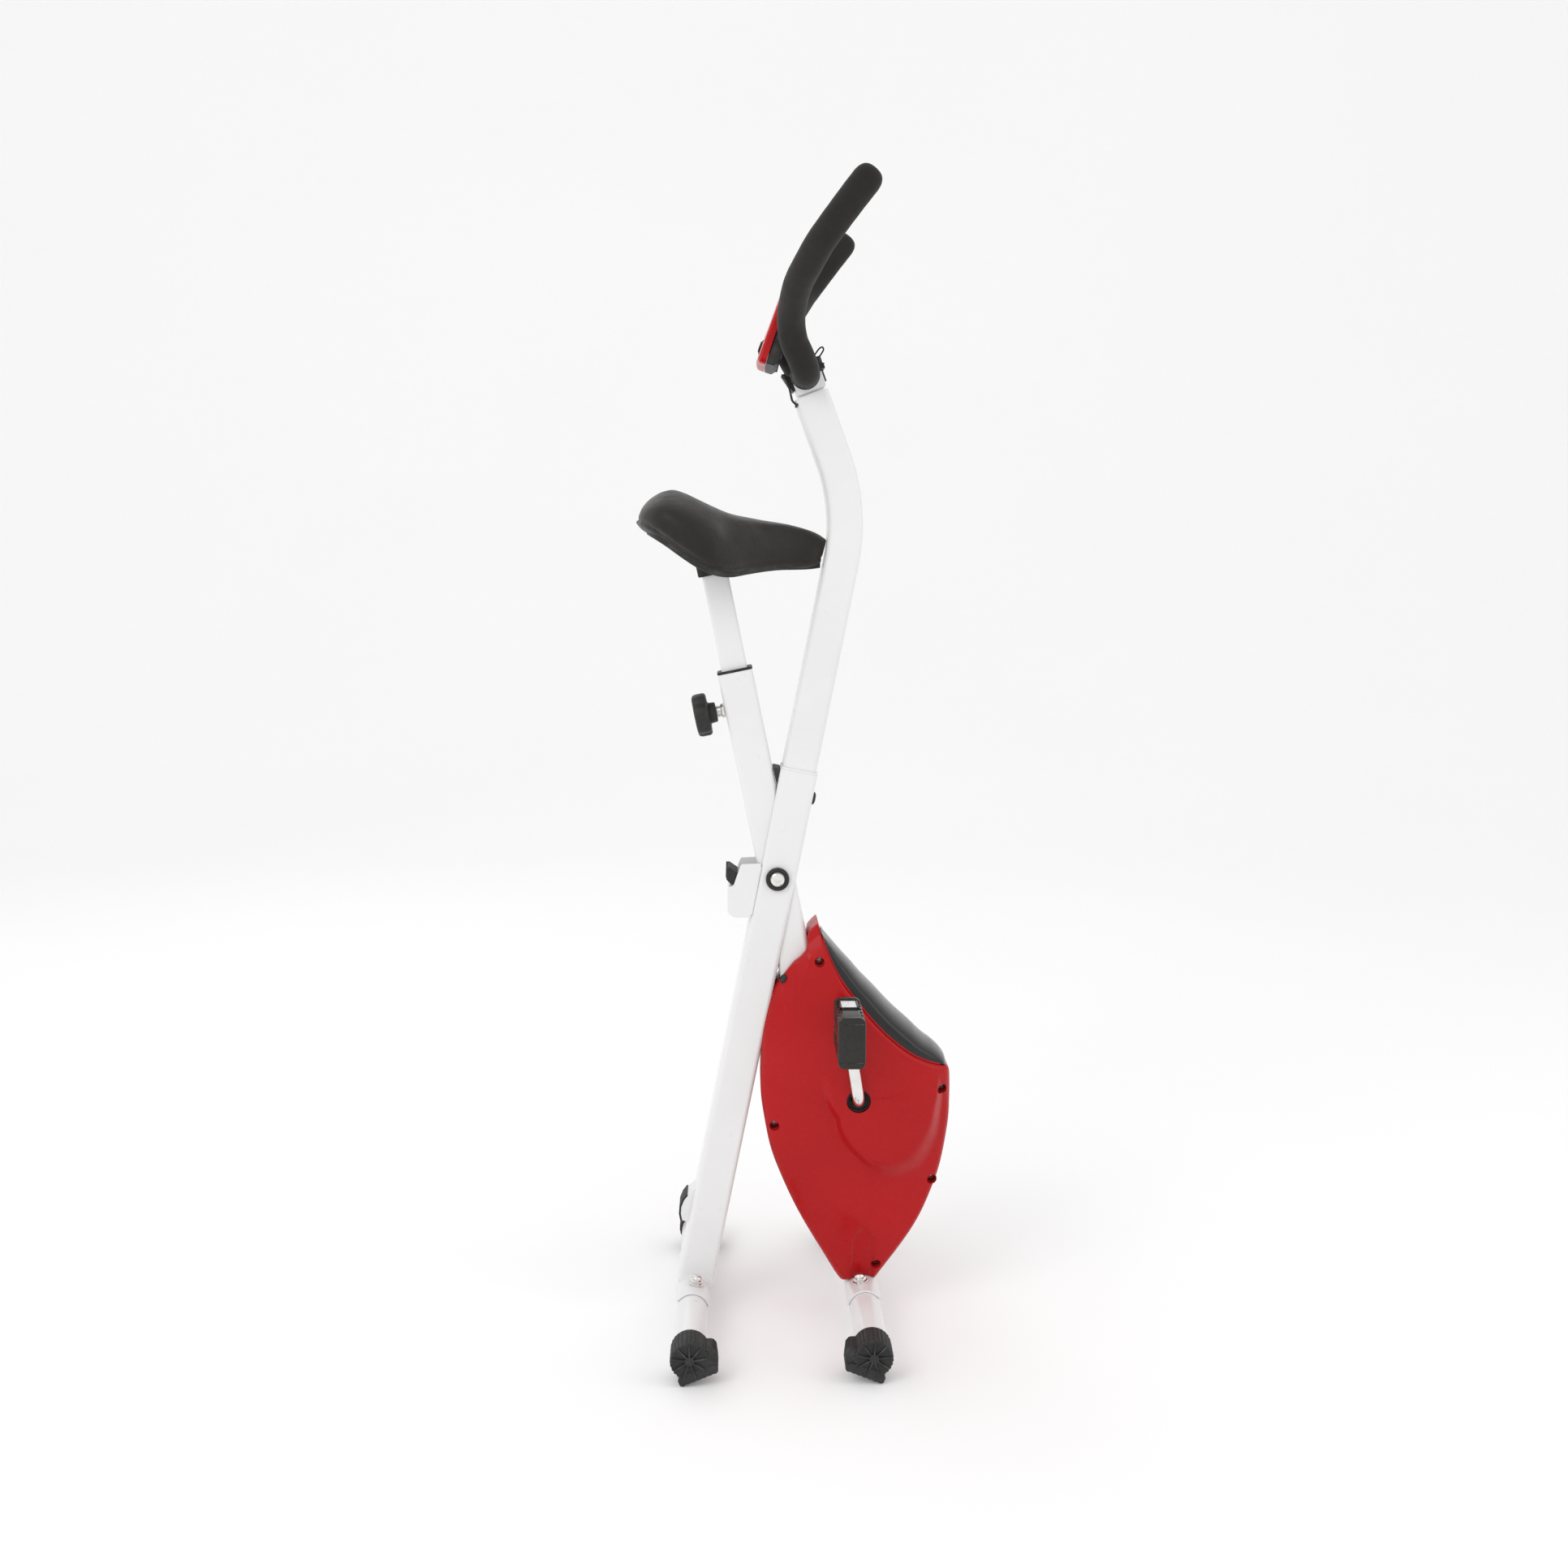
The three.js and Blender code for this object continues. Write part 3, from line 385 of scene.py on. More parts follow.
def plate(bm, pts, y0, y1, M=M_FLOOR):
    a = [bm.verts.new(M @ Vector((x, y0, z))) for x, z in pts]
    b = [bm.verts.new(M @ Vector((x, y1, z))) for x, z in pts]
    bm.faces.new(a)
    bm.faces.new(list(reversed(b)))
    for i in range(len(pts)):
        j = (i + 1) % len(pts)
        bm.faces.new((a[j], a[i], b[i], b[j]))


def block(bm, x0, x1, y0, y1, z0, z1, M=M_FLOOR):
    plate(bm, [(x0, z0), (x1, z0), (x1, z1), (x0, z1)], y0, y1, M)


def merge(bm, other):
    me = bpy.data.meshes.new("t")
    other.to_mesh(me)
    other.free()
    bm.from_mesh(me)
    bpy.data.meshes.remove(me)


def sweep(bm, pts, frames, prof, cap0=True, cap1=True, scale=None):
    rings(bm, [[p + a * (u * (scale[i] if scale else 1)) + b * (v * (scale[i] if scale else 1)) for u, v in prof]
               for i, (p, (a, b)) in enumerate(zip(pts, frames))], True, cap0, cap1)


def transport(pts, ref=(0, 1, 0)):
    n = len(pts)
    t = [((pts[min(i + 1, n - 1)] - pts[max(i - 1, 0)]).normalized()) for i in range(n)]
    a = Vector(ref)
    out = []
    for k in range(n):
        a = a - t[k] * a.dot(t[k])
        if a.length < 1e-4:
            a = t[k].orthogonal()
        a.normalize()
        out.append((a.copy(), t[k].cross(a)))
    return out


def catmull(P, per=12):
    """Centripetal spline through the points."""
    P = [Vector(p) for p in P]
    P = [P[0] * 2 - P[1]] + P + [P[-1] * 2 - P[-2]]
    out = []
    for i in range(1, len(P) - 2):
        p0, p1, p2, p3 = P[i - 1:i + 3]
        t0 = 0.0
        t1 = t0 + max((p1 - p0).length, 1e-6) ** 0.5
        t2 = t1 + max((p2 - p1).length, 1e-6) ** 0.5
        t3 = t2 + max((p3 - p2).length, 1e-6) ** 0.5
        for k in range(per):
            t = t1 + (t2 - t1) * k / per
            a1 = p0 * ((t1 - t) / (t1 - t0)) + p1 * ((t - t0) / (t1 - t0))
            a2 = p1 * ((t2 - t) / (t2 - t1)) + p2 * ((t - t1) / (t2 - t1))
            a3 = p2 * ((t3 - t) / (t3 - t2)) + p3 * ((t - t2) / (t3 - t2))
            b1 = a1 * ((t2 - t) / (t2 - t0)) + a2 * ((t - t0) / (t2 - t0))
            b2 = a2 * ((t3 - t) / (t3 - t1)) + a3 * ((t - t1) / (t3 - t1))
            out.append(b1 * ((t2 - t) / (t2 - t1)) + b2 * ((t - t1) / (t2 - t1)))
    out.append(P[-2].copy())
    return out


def even(pts, n):
    """n points evenly along a polyline."""
    d = [0.0]
    for a, b in zip(pts, pts[1:]):
        d.append(d[-1] + (b - a).length)
    out, j = [], 0
    for k in range(n):
        s = d[-1] * k / (n - 1)
        while j < len(pts) - 2 and d[j + 1] < s:
            j += 1
        f = (s - d[j]) / max(d[j + 1] - d[j], 1e-9)
        out.append(pts[j].lerp(pts[j + 1], max(0, min(1, f))))
    return out


def fillet_path(pts, radius, per=10):
    """Straight runs joined by arcs."""
    pts = [Vector(p) for p in pts]
    rad = radius if isinstance(radius, (list, tuple)) else [radius] * (len(pts) - 2)
    out = [pts[0]]
    for i in range(1, len(pts) - 1):
        a, b = (pts[i] - pts[i - 1]).normalized(), (pts[i + 1] - pts[i]).normalized()
        ang = a.angle(b)
        t = rad[i - 1] * math.tan(ang / 2)
        start = pts[i] - a * t
        nrm = (b - a * a.dot(b)).normalized()
        cen = start + nrm * rad[i - 1]
        for k in range(per + 1):
            w = ang * k / per
            out.append(cen - nrm * (rad[i - 1] * cos(w)) + a * (rad[i - 1] * sin(w)))
    out.append(pts[-1])
    return out


def rod(bm, pts, r, n=10, ref=(0, 1, 0), caps=True, ball=False):
    fr = transport(pts, ref)
    sc = None
    if ball:
        a, b = pts[0], pts[-1]
        d0, d1 = (pts[1] - pts[0]).normalized(), (pts[-1] - pts[-2]).normalized()
        pts = [a, a + d0 * r * 0.3] + list(pts[1:-1]) + [b - d1 * r * 0.3, b]
        fr = transport(pts, ref)
        sc = [0.72, 1] + [1] * (len(pts) - 4) + [1, 0.72]
    sweep(bm, pts, fr, circle(r, n), caps, caps, sc)


def smoothstep(a, b, x):
    t = max(0.0, min(1.0, (x - a) / (b - a)))
    return t * t * (3 - 2 * t)


# ------------------------------------------------------------------ painted steel frame
TUBE = rrect(45, 50, 6, 6)          # main tube: along its own x, across the bike


def main_tube():
    """One tube from the rear saddle to the socket's mouth, slotted front and rear where the seat tube crosses."""
    ks = [-521, -420, -300, -200, -109, -16, 16, 109, 120, 131.2, 132]
    bm = bmesh.new()
    rows = [[bm.verts.new(main_at(x * (0.994 if k == 132 else 1), y * (0.994 if k == 132 else 1), k)) for x, y in TUBE] for k in ks]
    n = len(TUBE)
    for i, (k0, k1) in enumerate(zip(ks, ks[1:])):
        for a in range(n):
            b = (a + 1) % n
            pa, pb = TUBE[a], TUBE[b]
            inner = min(abs(pa[1]), abs(pb[1])) < 20.2
            if inner and pa[0] > 0 and k0 >= -109 and k1 <= 16:
                continue
            if inner and pa[0] < 0 and k0 >= -16 and k1 <= 109:
                continue
            bm.faces.new((rows[i][a], rows[i][b], rows[i + 1][b], rows[i + 1][a]))
    bmesh.ops.delete(bm, geom=[v for v in bm.verts if not v.link_faces], context="VERTS")
    ob = piece("main_tube", bm, "main_frame", "white_paint",
               ("rear_leg_tube", "frame_cheek_near", "frame_cheek_far", "frame_front_web", "frame_rear_web", "frame_socket_tube"))
    w = ob.modifiers.new("wall", "SOLIDIFY")
    w.thickness = 0.0016
    w.offset = -1
    ob.modifiers.move(1, 0)
    return ob


main_tube()

# the handlebar post: straight out of the socket, one long bend, a plug in its top
post_pts = fillet_path([main_at(0, 0, 106), main_at(0, 0, 447.1), floor_at(39.8, 0, 1125)], 226, 22)
post_fr = []
for i, p in enumerate(post_pts):
    t = (post_pts[min(i + 1, len(post_pts) - 1)] - post_pts[max(i - 1, 0)]).normalized()
    post_fr.append((Vector((t.z, 0, -t.x)), Vector((0, 1, 0))))
bm = bmesh.new()
sweep(bm, post_pts, post_fr, rrect(41.2, 46.2, 7, 7))
bevel(bm, 1.0, 2, 60)
piece("handlebar_post_tube", bm, "main_frame", "white_paint", ("handlebar_post",))

# plastic liner lip between socket and post
bm = bmesh.new()
rows = [[main_at(x, y, k) for x, y in rrect(41.6 + 2 * g, 46.6 + 2 * g, 6.5, 6)] for g, k in ((0, 131), (0, 134.2), (0.5, 134.6), (1.1, 134.4), (1.3, 133.4), (1.3, 131))]
rings(bm, rows + [rows[0]], True, False, False)
piece("socket_lip", bm, "main_frame", "white_paint")

# seat tube, with its rolled mouth
bm = bmesh.new()
rows = [[seat_at(x * g, y * g, k) for x, y in rrect(42, 40, 6, 7)] for g, k in
        ((1, -521), (1, -300), (1, 0), (1, 200), (1, 252.3), (0.985, 253.3))]
rows += [[seat_at(x, y, k) for x, y in rrect(38.8, 36.8, 4.4, 7)] for k in (253.3, 200, -521)]
rings(bm, rows + [rows[0]], True, False, False)
piece("seat_tube_body", bm, "seat_frame", "white_paint", ("seat_tube",))

# seat post with four pin holes in its rear face
bm = bmesh.new()
rows = [[seat_at(x, y, k) for x, y in rrect(31, 31, 4, 6)] for k in (95, 130, 372)]
rows += [[seat_at(x, y, k) for x, y in rrect(27.6, 27.6, 2.4, 6)] for k in (372, 95)]
rings(bm, rows + [rows[0]], True, False, False)
post_ob = piece("seat_post_tube", bm, "saddle_slide", "white_paint", ("seat_post",), weighted=False)
cut_bm = bmesh.new()
for k in (210, 185, 160, 135):
    lathe(cut_bm, [(0, -8), (4.2, -8), (4.2, 8), (0, 8)], 20, aim(seat_at(-15.5, 0, k), M_SEAT.to_3x3() @ Vector((1, 0, 0))))


def boolean(ob, cutter_bm, name="cut"):
    """Cuts ob by the closed shapes in cutter_bm and keeps the result as ob's mesh."""
    bmesh.ops.remove_doubles(cutter_bm, verts=cutter_bm.verts, dist=0.001)
    bmesh.ops.recalc_face_normals(cutter_bm, faces=cutter_bm.faces)
    bmesh.ops.scale(cutter_bm, vec=(0.001,) * 3, verts=cutter_bm.verts)
    me = bpy.data.meshes.new(name)
    cutter_bm.to_mesh(me)
    cutter_bm.free()
    cu = bpy.data.objects.new(name, me)
    scene.collection.objects.link(cu)
    mod = ob.modifiers.new("cut", "BOOLEAN")
    mod.operation = "DIFFERENCE"
    mod.object = cu
    mod.solver = "EXACT"
    keep = [m for m in ob.modifiers if m != mod]
    for m in keep:
        m.show_viewport = m.show_render = False
    bpy.context.view_layer.update()
    dg = bpy.context.evaluated_depsgraph_get()
    new = bpy.data.meshes.new_from_object(ob.evaluated_get(dg))
    old = ob.data
    ob.modifiers.remove(mod)
    for m in keep:
        m.show_viewport = m.show_render = True
    ob.data = new
    new.name = ob.name
    bpy.data.meshes.remove(old)
    bpy.data.objects.remove(cu)
    bpy.data.meshes.remove(me)
    for p in new.polygons:
        p.use_smooth = True
    new.set_sharp_from_angle(angle=radians(34))
    return ob


boolean(post_ob, cut_bm)

# black collar: liner flange at the seat tube's mouth
bm = bmesh.new()
out = [(0.0, 253.5, 42, 40), (0.4, 253.7, 42.6, 40.6), (0, 255.6, 42.6, 40.6), (0, 256.4, 41.4, 39.4), (0, 256.4, 32.2, 32.2), (0, 240, 32.0, 32.0), (0, 240, 38, 36), (0, 253.5, 38, 36)]
rows = [[seat_at(x, y, k) for x, y in rrect(w, h, 6 if w > 39 else 4, 6)] for _, k, w, h in out]
rings(bm, rows + [rows[0]], True, False, False)
piece("sleeve_collar_flange", bm, "seat_frame", "black_plastic", ("sleeve_collar",))


# weld beads: rippled fillets along a seam
def bead(bm, pts, r, ripple=0.35, pitch=3.2):
    pts = even(pts, max(8, int(sum((b - a).length for a, b in zip(pts, pts[1:])) / 0.8)))
    sc, d = [], 0
    for i, p in enumerate(pts):
        d += (p - pts[max(i - 1, 0)]).length
        end = min(i, len(pts) - 1 - i)
        sc.append((1 + ripple * abs(sin(pi * d / pitch)) * 0.6) * min(1, 0.3 + end * 0.35))
    sweep(bm, pts, transport(pts, (0.3, 0.2, 1)), circle(r, 8), True, True, sc)


for end, M, w, d, body in (("rear", M_MAIN, 45, 50, "main_frame"), ("front", M_SEAT, 42, 40, "seat_frame")):
    bm = bmesh.new()
    for sy in (-1, 1):
        xs = [(-w / 2 + 3) + (w - 6) * i / 24 for i in range(25)]
        bead(bm, [M @ Vector((x, sy * (d / 2 + 0.2), -LEG + math.sqrt(max(21.6 ** 2 - x * x, 60)))) for x in xs], 1.7)
    piece(f"{end}_saddle_weld", bm, body, "white_paint", weighted=False, angle=60)

    # saddle: a half sleeve over the stabiliser with rounded corners
    bm = bmesh.new()
    nphi, ny, half, rc = 36, 40, 75.0, 12.0
    rows = []
    for i in range(nphi + 1):
        phi = radians(9 + 162 * i / nphi)
        e = min(i, nphi - i) / nphi * radians(162) * 21.5
        yend = half - (rc - math.sqrt(rc * rc - (rc - e) ** 2) if e < rc else 0)
        rows.append([M @ Vector((21.5 * cos(phi), yend * (2 * j / ny - 1), -LEG + 21.5 * sin(phi))) for j in range(ny + 1)])
    rings(bm, rows, False)
    ob = piece(f"{end}_saddle_plate", bm, body, "white_paint", (f"{end}_saddle",), weighted=False, angle=50)
    md = ob.modifiers.new("wall", "SOLIDIFY")
    md.thickness, md.offset = 0.0021, -1
    if sum(p.normal.z for p in ob.data.polygons) < 0:
        ob.data.flip_normals()
    bv = ob.modifiers.new("edge", "BEVEL")
    bv.width, bv.segments, bv.limit_method, bv.angle_limit = 0.0006, 2, "ANGLE", radians(50)

    # stabiliser: round tube with a rolled end
    bm = bmesh.new()
    ax = aim(M @ Vector((0, 0, -LEG)), (0, 1, 0))
    lathe(bm, [(19, -202), (19, -60), (19, 60), (19, 202), (18.4, 203), (17.2, 203), (17.2, 0), (17.2, -203), (18.4, -203)], 64, ax, loop=True)
    piece(f"{end}_stabiliser_tube", bm, body, "white_paint", (f"{end}_stabiliser",), weighted=False)

    # bolts: washer, hexagon, dome; and the cup head under the tube
    for side, sy in (("near", -1), ("far", 1)):
        m = M @ Matrix.Translation((0, 47 * sy, -LEG))
        bm = bmesh.new()
        lathe(bm, [(0, 21.7), (9.2, 21.7), (9.4, 22.0), (9.2, 23.0), (8.6, 23.3), (0, 23.3)], 36, m)
        hexr = lambda r, t, i: r / max(cos((t % (pi / 3)) - pi / 6), 0.86) * 0.93 if i in (1, 2, 3) else r
        lathe(bm, [(0, 23.2), (7.4, 23.2), (7.5, 23.6), (7.5, 27.0), (6.7, 27.8), (6.2, 28.0), (6.0, 29.3), (5.2, 31.0), (3.6, 32.3), (1.8, 32.9), (0, 33.0)], 48, m, hexr)
        lathe(bm, [(0, -19.4), (9, -19.4), (8.4, -21.0), (6, -22.3), (3, -22.9), (0, -23.0)], 32, m)
        piece(f"{end}_bolt_{side}_head", bm, body, "chrome", (f"{end}_bolt_{side}",), weighted=False, angle=30)

# stop bracket: two bent plates and the block between them
faceX = lambda z: (z - PZ) * math.tan(LEAN) - 22.5 / C
side = [(faceX(573), 573), (-44, 572), (-53, 546), (-60, 544), (-60, 512), (-52, 507), (faceX(507), 507)]
bm = bmesh.new()
for y0, y1 in ((-25, -21.6), (21.6, 25)):
    t = bmesh.new()
    plate(t, round_poly(side, [0, 4, 5, 4, 7, 7, 0], 5), y0, y1)
    bevel(t, 0.7, 2, 50)
    merge(bm, t)
t = bmesh.new()
plate(t, round_poly([(-60, 512), (-50, 512), (-50, 543.6), (-60, 543.6)], 3, 4), -22, 22)
bevel(t, 0.7, 2, 50)
merge(bm, t)
piece("stop_bracket_plates", bm, "main_frame", "white_paint", ("stop_bracket",), weld=0)
bm = bmesh.new()
for sy in (-1, 1):
    bead(bm, [floor_at(faceX(z) - 0.2, sy * 23.3, z) for z in range(510, 572, 2)], 1.5)
piece("stop_bracket_weld", bm, "main_frame", "white_paint", weighted=False, angle=60)

# rubber stop on the bracket: a moulded shoe with a rib round it
bm = bmesh.new()
shoe = [(-61.6, 552.5), (-61.0, 570.2), (-47.2, 560.6), (-48.8, 556), (-53.6, 544.4)]
plate(bm, round_poly(shoe, [2, 2.5, 2.5, 2, 2], 4), -20, 20)
bevel(bm, 1.2, 3, 50)
t = bmesh.new()
for y in (-12, 0, 12):
    u = bmesh.new()
    plate(u, round_poly([(-62.3, 554), (-61.8, 569.0), (-60, 569.0), (-60, 554)], 0.6, 3), y - 2.2, y + 2.2)
    bevel(u, 0.5, 2, 50)
    merge(t, u)
merge(bm, t)
piece("stop_shoe", bm, "main_frame", "rubber_black", ("stop_bumper",), weld=0)

bm = bmesh.new()
plate(bm, round_poly([(-22.7, 113.5), (-24.4, 113.5), (-31.2, 129), (-31.2, 131), (-22.7, 131)], [0, 0.6, 1.2, 1, 0], 3), -18, 18, M_MAIN)
bevel(bm, 0.8, 2, 50)
piece("fold_rest_pad", bm, "main_frame", "rubber_black", ("fold_bumper",))

# pivot: cap ring, bolt end with a washer and a hexagon socket, far head
near = aim(main_at(0, -25, 0), (0, -1, 0))
bm = bmesh.new()
lathe(bm, [(8.4, 0.2), (13.4, 0.2), (14.0, 0.7), (14.1, 3.6), (13.6, 4.9), (12.4, 5.5), (10.8, 5.3), (10.2, 4.4), (9.6, 4.3), (8.4, 4.3)], 64, near, loop=True)
piece("pivot_cap_ring", bm, "main_frame", "black_plastic", ("pivot_cap_near",), weighted=False)
bm = bmesh.new()
hexin = lambda r, t, i: r / cos(((t + pi / 6) % (pi / 3)) - pi / 6) if i in (9, 10) else r
lathe(bm, [(0, -48), (7.9, -48), (7.9, 3.2), (9.4, 3.2), (9.6, 3.5), (9.4, 4.1), (8.2, 4.3), (7.8, 5.7), (6.6, 6.4), (3.9, 6.4), (3.9, 3.0), (0, 2.4)], 72, near, hexin)
far = aim(main_at(0, 25, 0), (0, 1, 0))
lathe(bm, [(0, 0.3), (13.2, 0.3), (13.4, 0.8), (13.0, 2.2), (11, 2.6), (10.6, 4.9), (8.8, 6.0), (4.6, 6.0), (4.6, 3.4), (0, 3.0)], 72, far,
      lambda r, t, i: r / cos(((t + pi / 6) % (pi / 3)) - pi / 6) if i in (7, 8) else r)
piece("pivot_bolt_ends", bm, "main_frame", "chrome", ("pivot_bolt",), weighted=False, angle=30)

# socket bolt: cup head with a socket, black
m = aim(main_at(22.5, 0, 101), M_MAIN.to_3x3() @ Vector((1, 0, 0)), (0, 1, 0))
bm = bmesh.new()
lathe(bm, [(0, 0.1), (8.0, 0.1), (8.1, 0.6), (7.6, 2.6), (6.0, 4.0), (4.2, 4.5), (2.6, 4.5), (2.6, 2.4), (0, 2.2)], 60, m,
      lambda r, t, i: r / cos(((t + pi / 6) % (pi / 3)) - pi / 6) if i in (6, 7) else r)
piece("socket_bolt", bm, "main_frame", "black_plastic", ("post_bolt",), weighted=False, angle=30)

# folding hook on the rear face of the leg: a painted ear with a black rubber edge
hk = [(-106.5, 158.4), (-111.5, 154.5), (-116.6, 148.0), (-120.2, 139), (-120.9, 130), (-119.4, 121.7)]
leg_face = lambda z: (z - PZ) * math.tan(LEAN) - 22.5 / C
hk = [(max(x, leg_face(z) - 17.5), z) for x, z in hk]
bm = bmesh.new()
inner = [(leg_face(118) + 0.6, 118.5), (leg_face(163) + 0.6, 163)]
plate(bm, round_poly([inner[1]] + hk + [inner[0]], [0, 3, 3, 3, 3, 2, 1.5, 0], 3), -16, 16)
bevel(bm, 0.9, 2, 50)
piece("storage_hook", bm, "main_frame", "white_paint")
bm = bmesh.new()
pts = even([floor_at(x - 0.3, 0, z) for x, z in hk[1:]], 26)
fr = transport(pts, (0, 1, 0))
sweep(bm, pts, fr, rrect(33.5, 2.6, 1.2, 4))
piece("storage_hook_edge", bm, "main_frame", "rubber_black")

# ------------------------------------------------------------------ feet
FOOT_POLY = [(-22.5, -24.9), (26, -24.9), (31, -3), (28, 2), (8, 16), (-20, 6)]
for end, M, sx, body in (("rear", M_MAIN, -1, "main_frame"), ("front", M_SEAT, 1, "seat_frame")):
    MF = M @ Matrix.Translation((0, 0, -LEG)) @ Matrix.Rotation(sx * radians(33.4), 4, "Y")
    for side_name, sy in (("near", -1), ("far", 1)):
        bm = bmesh.new()
        # ribbed barrel: outer wall, end face with star ribs, bore
        ax = MF @ Matrix.Translation((0, sy * 208, 0)) @ aim((0, 0, 0), (0, -sy, 0), (1, 0, 0))
        seg = 168
        rib = lambda r, t, i: r * (1 - 0.030 * (1 if (t * 28 / (2 * pi)) % 1 < 0.34 else 0)) if 3 <= i <= 6 else r
        star = [(0, 3.2), (4.0, 3.2), (17.6, 2.0), (21.4, 0.6), (22.5, 1.8), (22.6, 12), (22.6, 34.6), (21.6, 37.2), (19.9, 38), (19.4, 36), (19.4, 6), (0, 6)]
        lathe(bm, star, seg, ax, rib)
        for k in range(9):
            t = bmesh.new()
            a = 2 * pi * k / 9 + 0.2
            Mr = ax @ Matrix.Rotation(a, 4, "Z")
            plate(t, [(4.5, 3.6), (4.5, 0.9), (6.5, 0.35), (20.4, -0.1), (21.0, 1.2), (18, 2.6)], -0.75, 0.75, Mr @ Matrix(((1, 0, 0, 0), (0, 1, 0, 0), (0, 0, 1, 0), (0, 0, 0, 1))))
            merge(bm, t)
        lathe(bm, [(0, 0.4), (4.6, 0.4), (5.4, 0.9), (5.6, 3.4), (0, 3.4)], 32, ax)
        # base block with tread and the ribbed lobe beside the barrel
        mir = lambda p: [(x if sx < 0 else -x, z) for x, z in p]
        y0, y1 = (-206.5, -171.5) if sy < 0 else (171.5, 206.5)
        t = bmesh.new()
        plate(t, round_poly(mir([(-21.5, -24.9), (25.6, -24.9), (27.2, -18.5), (23, -14.0), (-16, -12), (-21.5, -17)]), [2.5, 3, 2, 2, 3, 3], 4), y0, y1, MF)
        bevel(t, 1.0, 2, 50)
        merge(bm, t)
        t = bmesh.new()
        plate(t, round_poly(mir([(18, -20), (27.0, -20), (30.6, -4.5), (28.4, 1.6), (20.0, 5.0), (14, 2)]), [1, 3, 3, 4, 5, 2], 5), y0 + 1.5, y1 - 1.5, MF)
        bevel(t, 1.3, 2, 50)
        merge(bm, t)
        for k in range(6):
            yy = y0 + 4.0 + k * (y1 - y0 - 8) / 5
            t = bmesh.new()
            plate(t, round_poly(mir([(26.8, -18), (27.8, -18), (31.3, -4.6), (29.4, 1.2), (28.0, 1.2)]), [0.4, 0.8, 1, 1, 0.5], 3), yy - 1.1, yy + 1.1, MF)
            merge(bm, t)
        for k in range(7):
            x = -19.5 + k * 6.6
            t = bmesh.new()
            plate(t, mir([(x, -24.6), (x + 0.5, -25.5), (x + 3.4, -25.5), (x + 3.9, -24.6)]), y0 + 1.2, y1 - 1.2, MF)
            merge(bm, t)
        # leg of the block reaching up to the barrel
        t = bmesh.new()
        plate(t, round_poly(mir([(-14, -14), (20, -14), (20, 2), (8, 14), (-14, 0)]), 2, 3), y0 + 2.5, y1 - 2.5, MF)
        merge(bm, t)
        piece(f"{end}_foot_{side_name}_cap", bm, body, "rubber_black", (f"{end}_foot_{side_name}",), weld=0, angle=30)
        if sx < 0:
            pass


# ------------------------------------------------------------------ handlebar, grips, clamp
HB = [(32, 0, 1146), (32, -30, 1146), (31.5, -50, 1149.5), (25.5, -64, 1162.5), (17.4, -74, 1179), (13.8, -90, 1199), (15.5, -115, 1216),
      (20, -145, 1232), (29.5, -174, 1248), (40, -191, 1265), (47, -197, 1274.5), (61, -200, 1293), (76, -200, 1312.5), (87.6, -200, 1327)]
bar_half = catmull([floor_at(*p) for p in HB], 14)
flip = lambda v: Vector((v.x, -v.y, v.z))
bm = bmesh.new()
whole = [v.copy() for v in reversed(bar_half)] + [flip(v) for v in bar_half[1:]]
whole = even(whole, 260)
sweep(bm, whole, transport(whole, (1, 0, 0)), circle(12.7, 32))
piece("handlebar_bar", bm, "main_frame", "white_paint", ("handlebar_tube",), weighted=False)

for side_name, sgn in (("near", 1), ("far", -1)):
    path = [v.copy() for v in bar_half if abs(v.y) > 26.5]
    path = even(path, 150)
    if sgn < 0:
        path = [flip(v) for v in path]
    # foam tube: rolled mouth, slight swells along it, domed end
    tip_d = (path[-1] - path[-2]).normalized()
    st_d = (path[1] - path[0]).normalized()
    pts, rad = [], []
    for off, r in ((0.9, 13.0), (0.15, 14.0), (0.0, 14.8), (0.45, 15.5), (1.5, 15.95)):
        pts.append(path[0] + st_d * off)
        rad.append(r)
    L = [0.0]
    for a, b in zip(path, path[1:]):
        L.append(L[-1] + (b - a).length)
    for i in range(3, len(path)):
        pts.append(path[i])
        s = L[i]
        rad.append(16.0 + 0.16 * sin(s * 0.045) + 0.10 * sin(s * 0.021 + 1.3) - 0.10 * (1 + sin(s * 0.33)) * 0.5)
    for k in range(1, 15):
        a = pi / 2 * k / 14
        pts.append(path[-1] + tip_d * (15.6 * sin(a) ** 0.95))
        rad.append(max(0.02, 16.0 * cos(a) ** 0.62))
    bm = bmesh.new()
    fr = transport(pts, (1, 0, 0))
    n = 48
    rows = []
    for p, (a, b), r in zip(pts, fr, rad):
        rows.append([p + a * (r * (1 + 0.004 * sin(3 * t + p.z * 0.03)) * cos(t)) + b * (r * sin(t)) for t in (2 * pi * k / n for k in range(n))])
    rings(bm, rows[:-1] + [[pts[-1]]], True, True, False)
    g = piece(f"grip_{side_name}_foam", bm, "main_frame", "foam_grip", (f"grip_{side_name}",), weighted=False, angle=60)

TILT = math.atan2(39.8 - 447.1 * Sn, 1125 - (PZ + 447.1 * C))
M_BAR = Matrix.Translation((32 + FX, 0, 1146)) @ Matrix.Rotation(TILT, 4, "Y")
bm = bmesh.new()
plate(bm, round_poly([(-15.5, -1), (-15.5, -19.6), (20, -19.6), (20, -1)], [1, 3, 3, 1], 4), -18.5, 18.5, M_BAR)
bevel(bm, 1.2, 3, 50)
piece("clamp_block", bm, "main_frame", "white_paint", ("handlebar_clamp_base",))
bm = bmesh.new()
arc = [(16.2 * cos(radians(a)), 16.2 * sin(radians(a))) for a in range(179, 20, -7)]
plate(bm, [(-16.2, 0.2)] + arc + [(24, 6.2), (25, 5.2), (25, 0.2)], -23.5, 23.5, M_BAR)
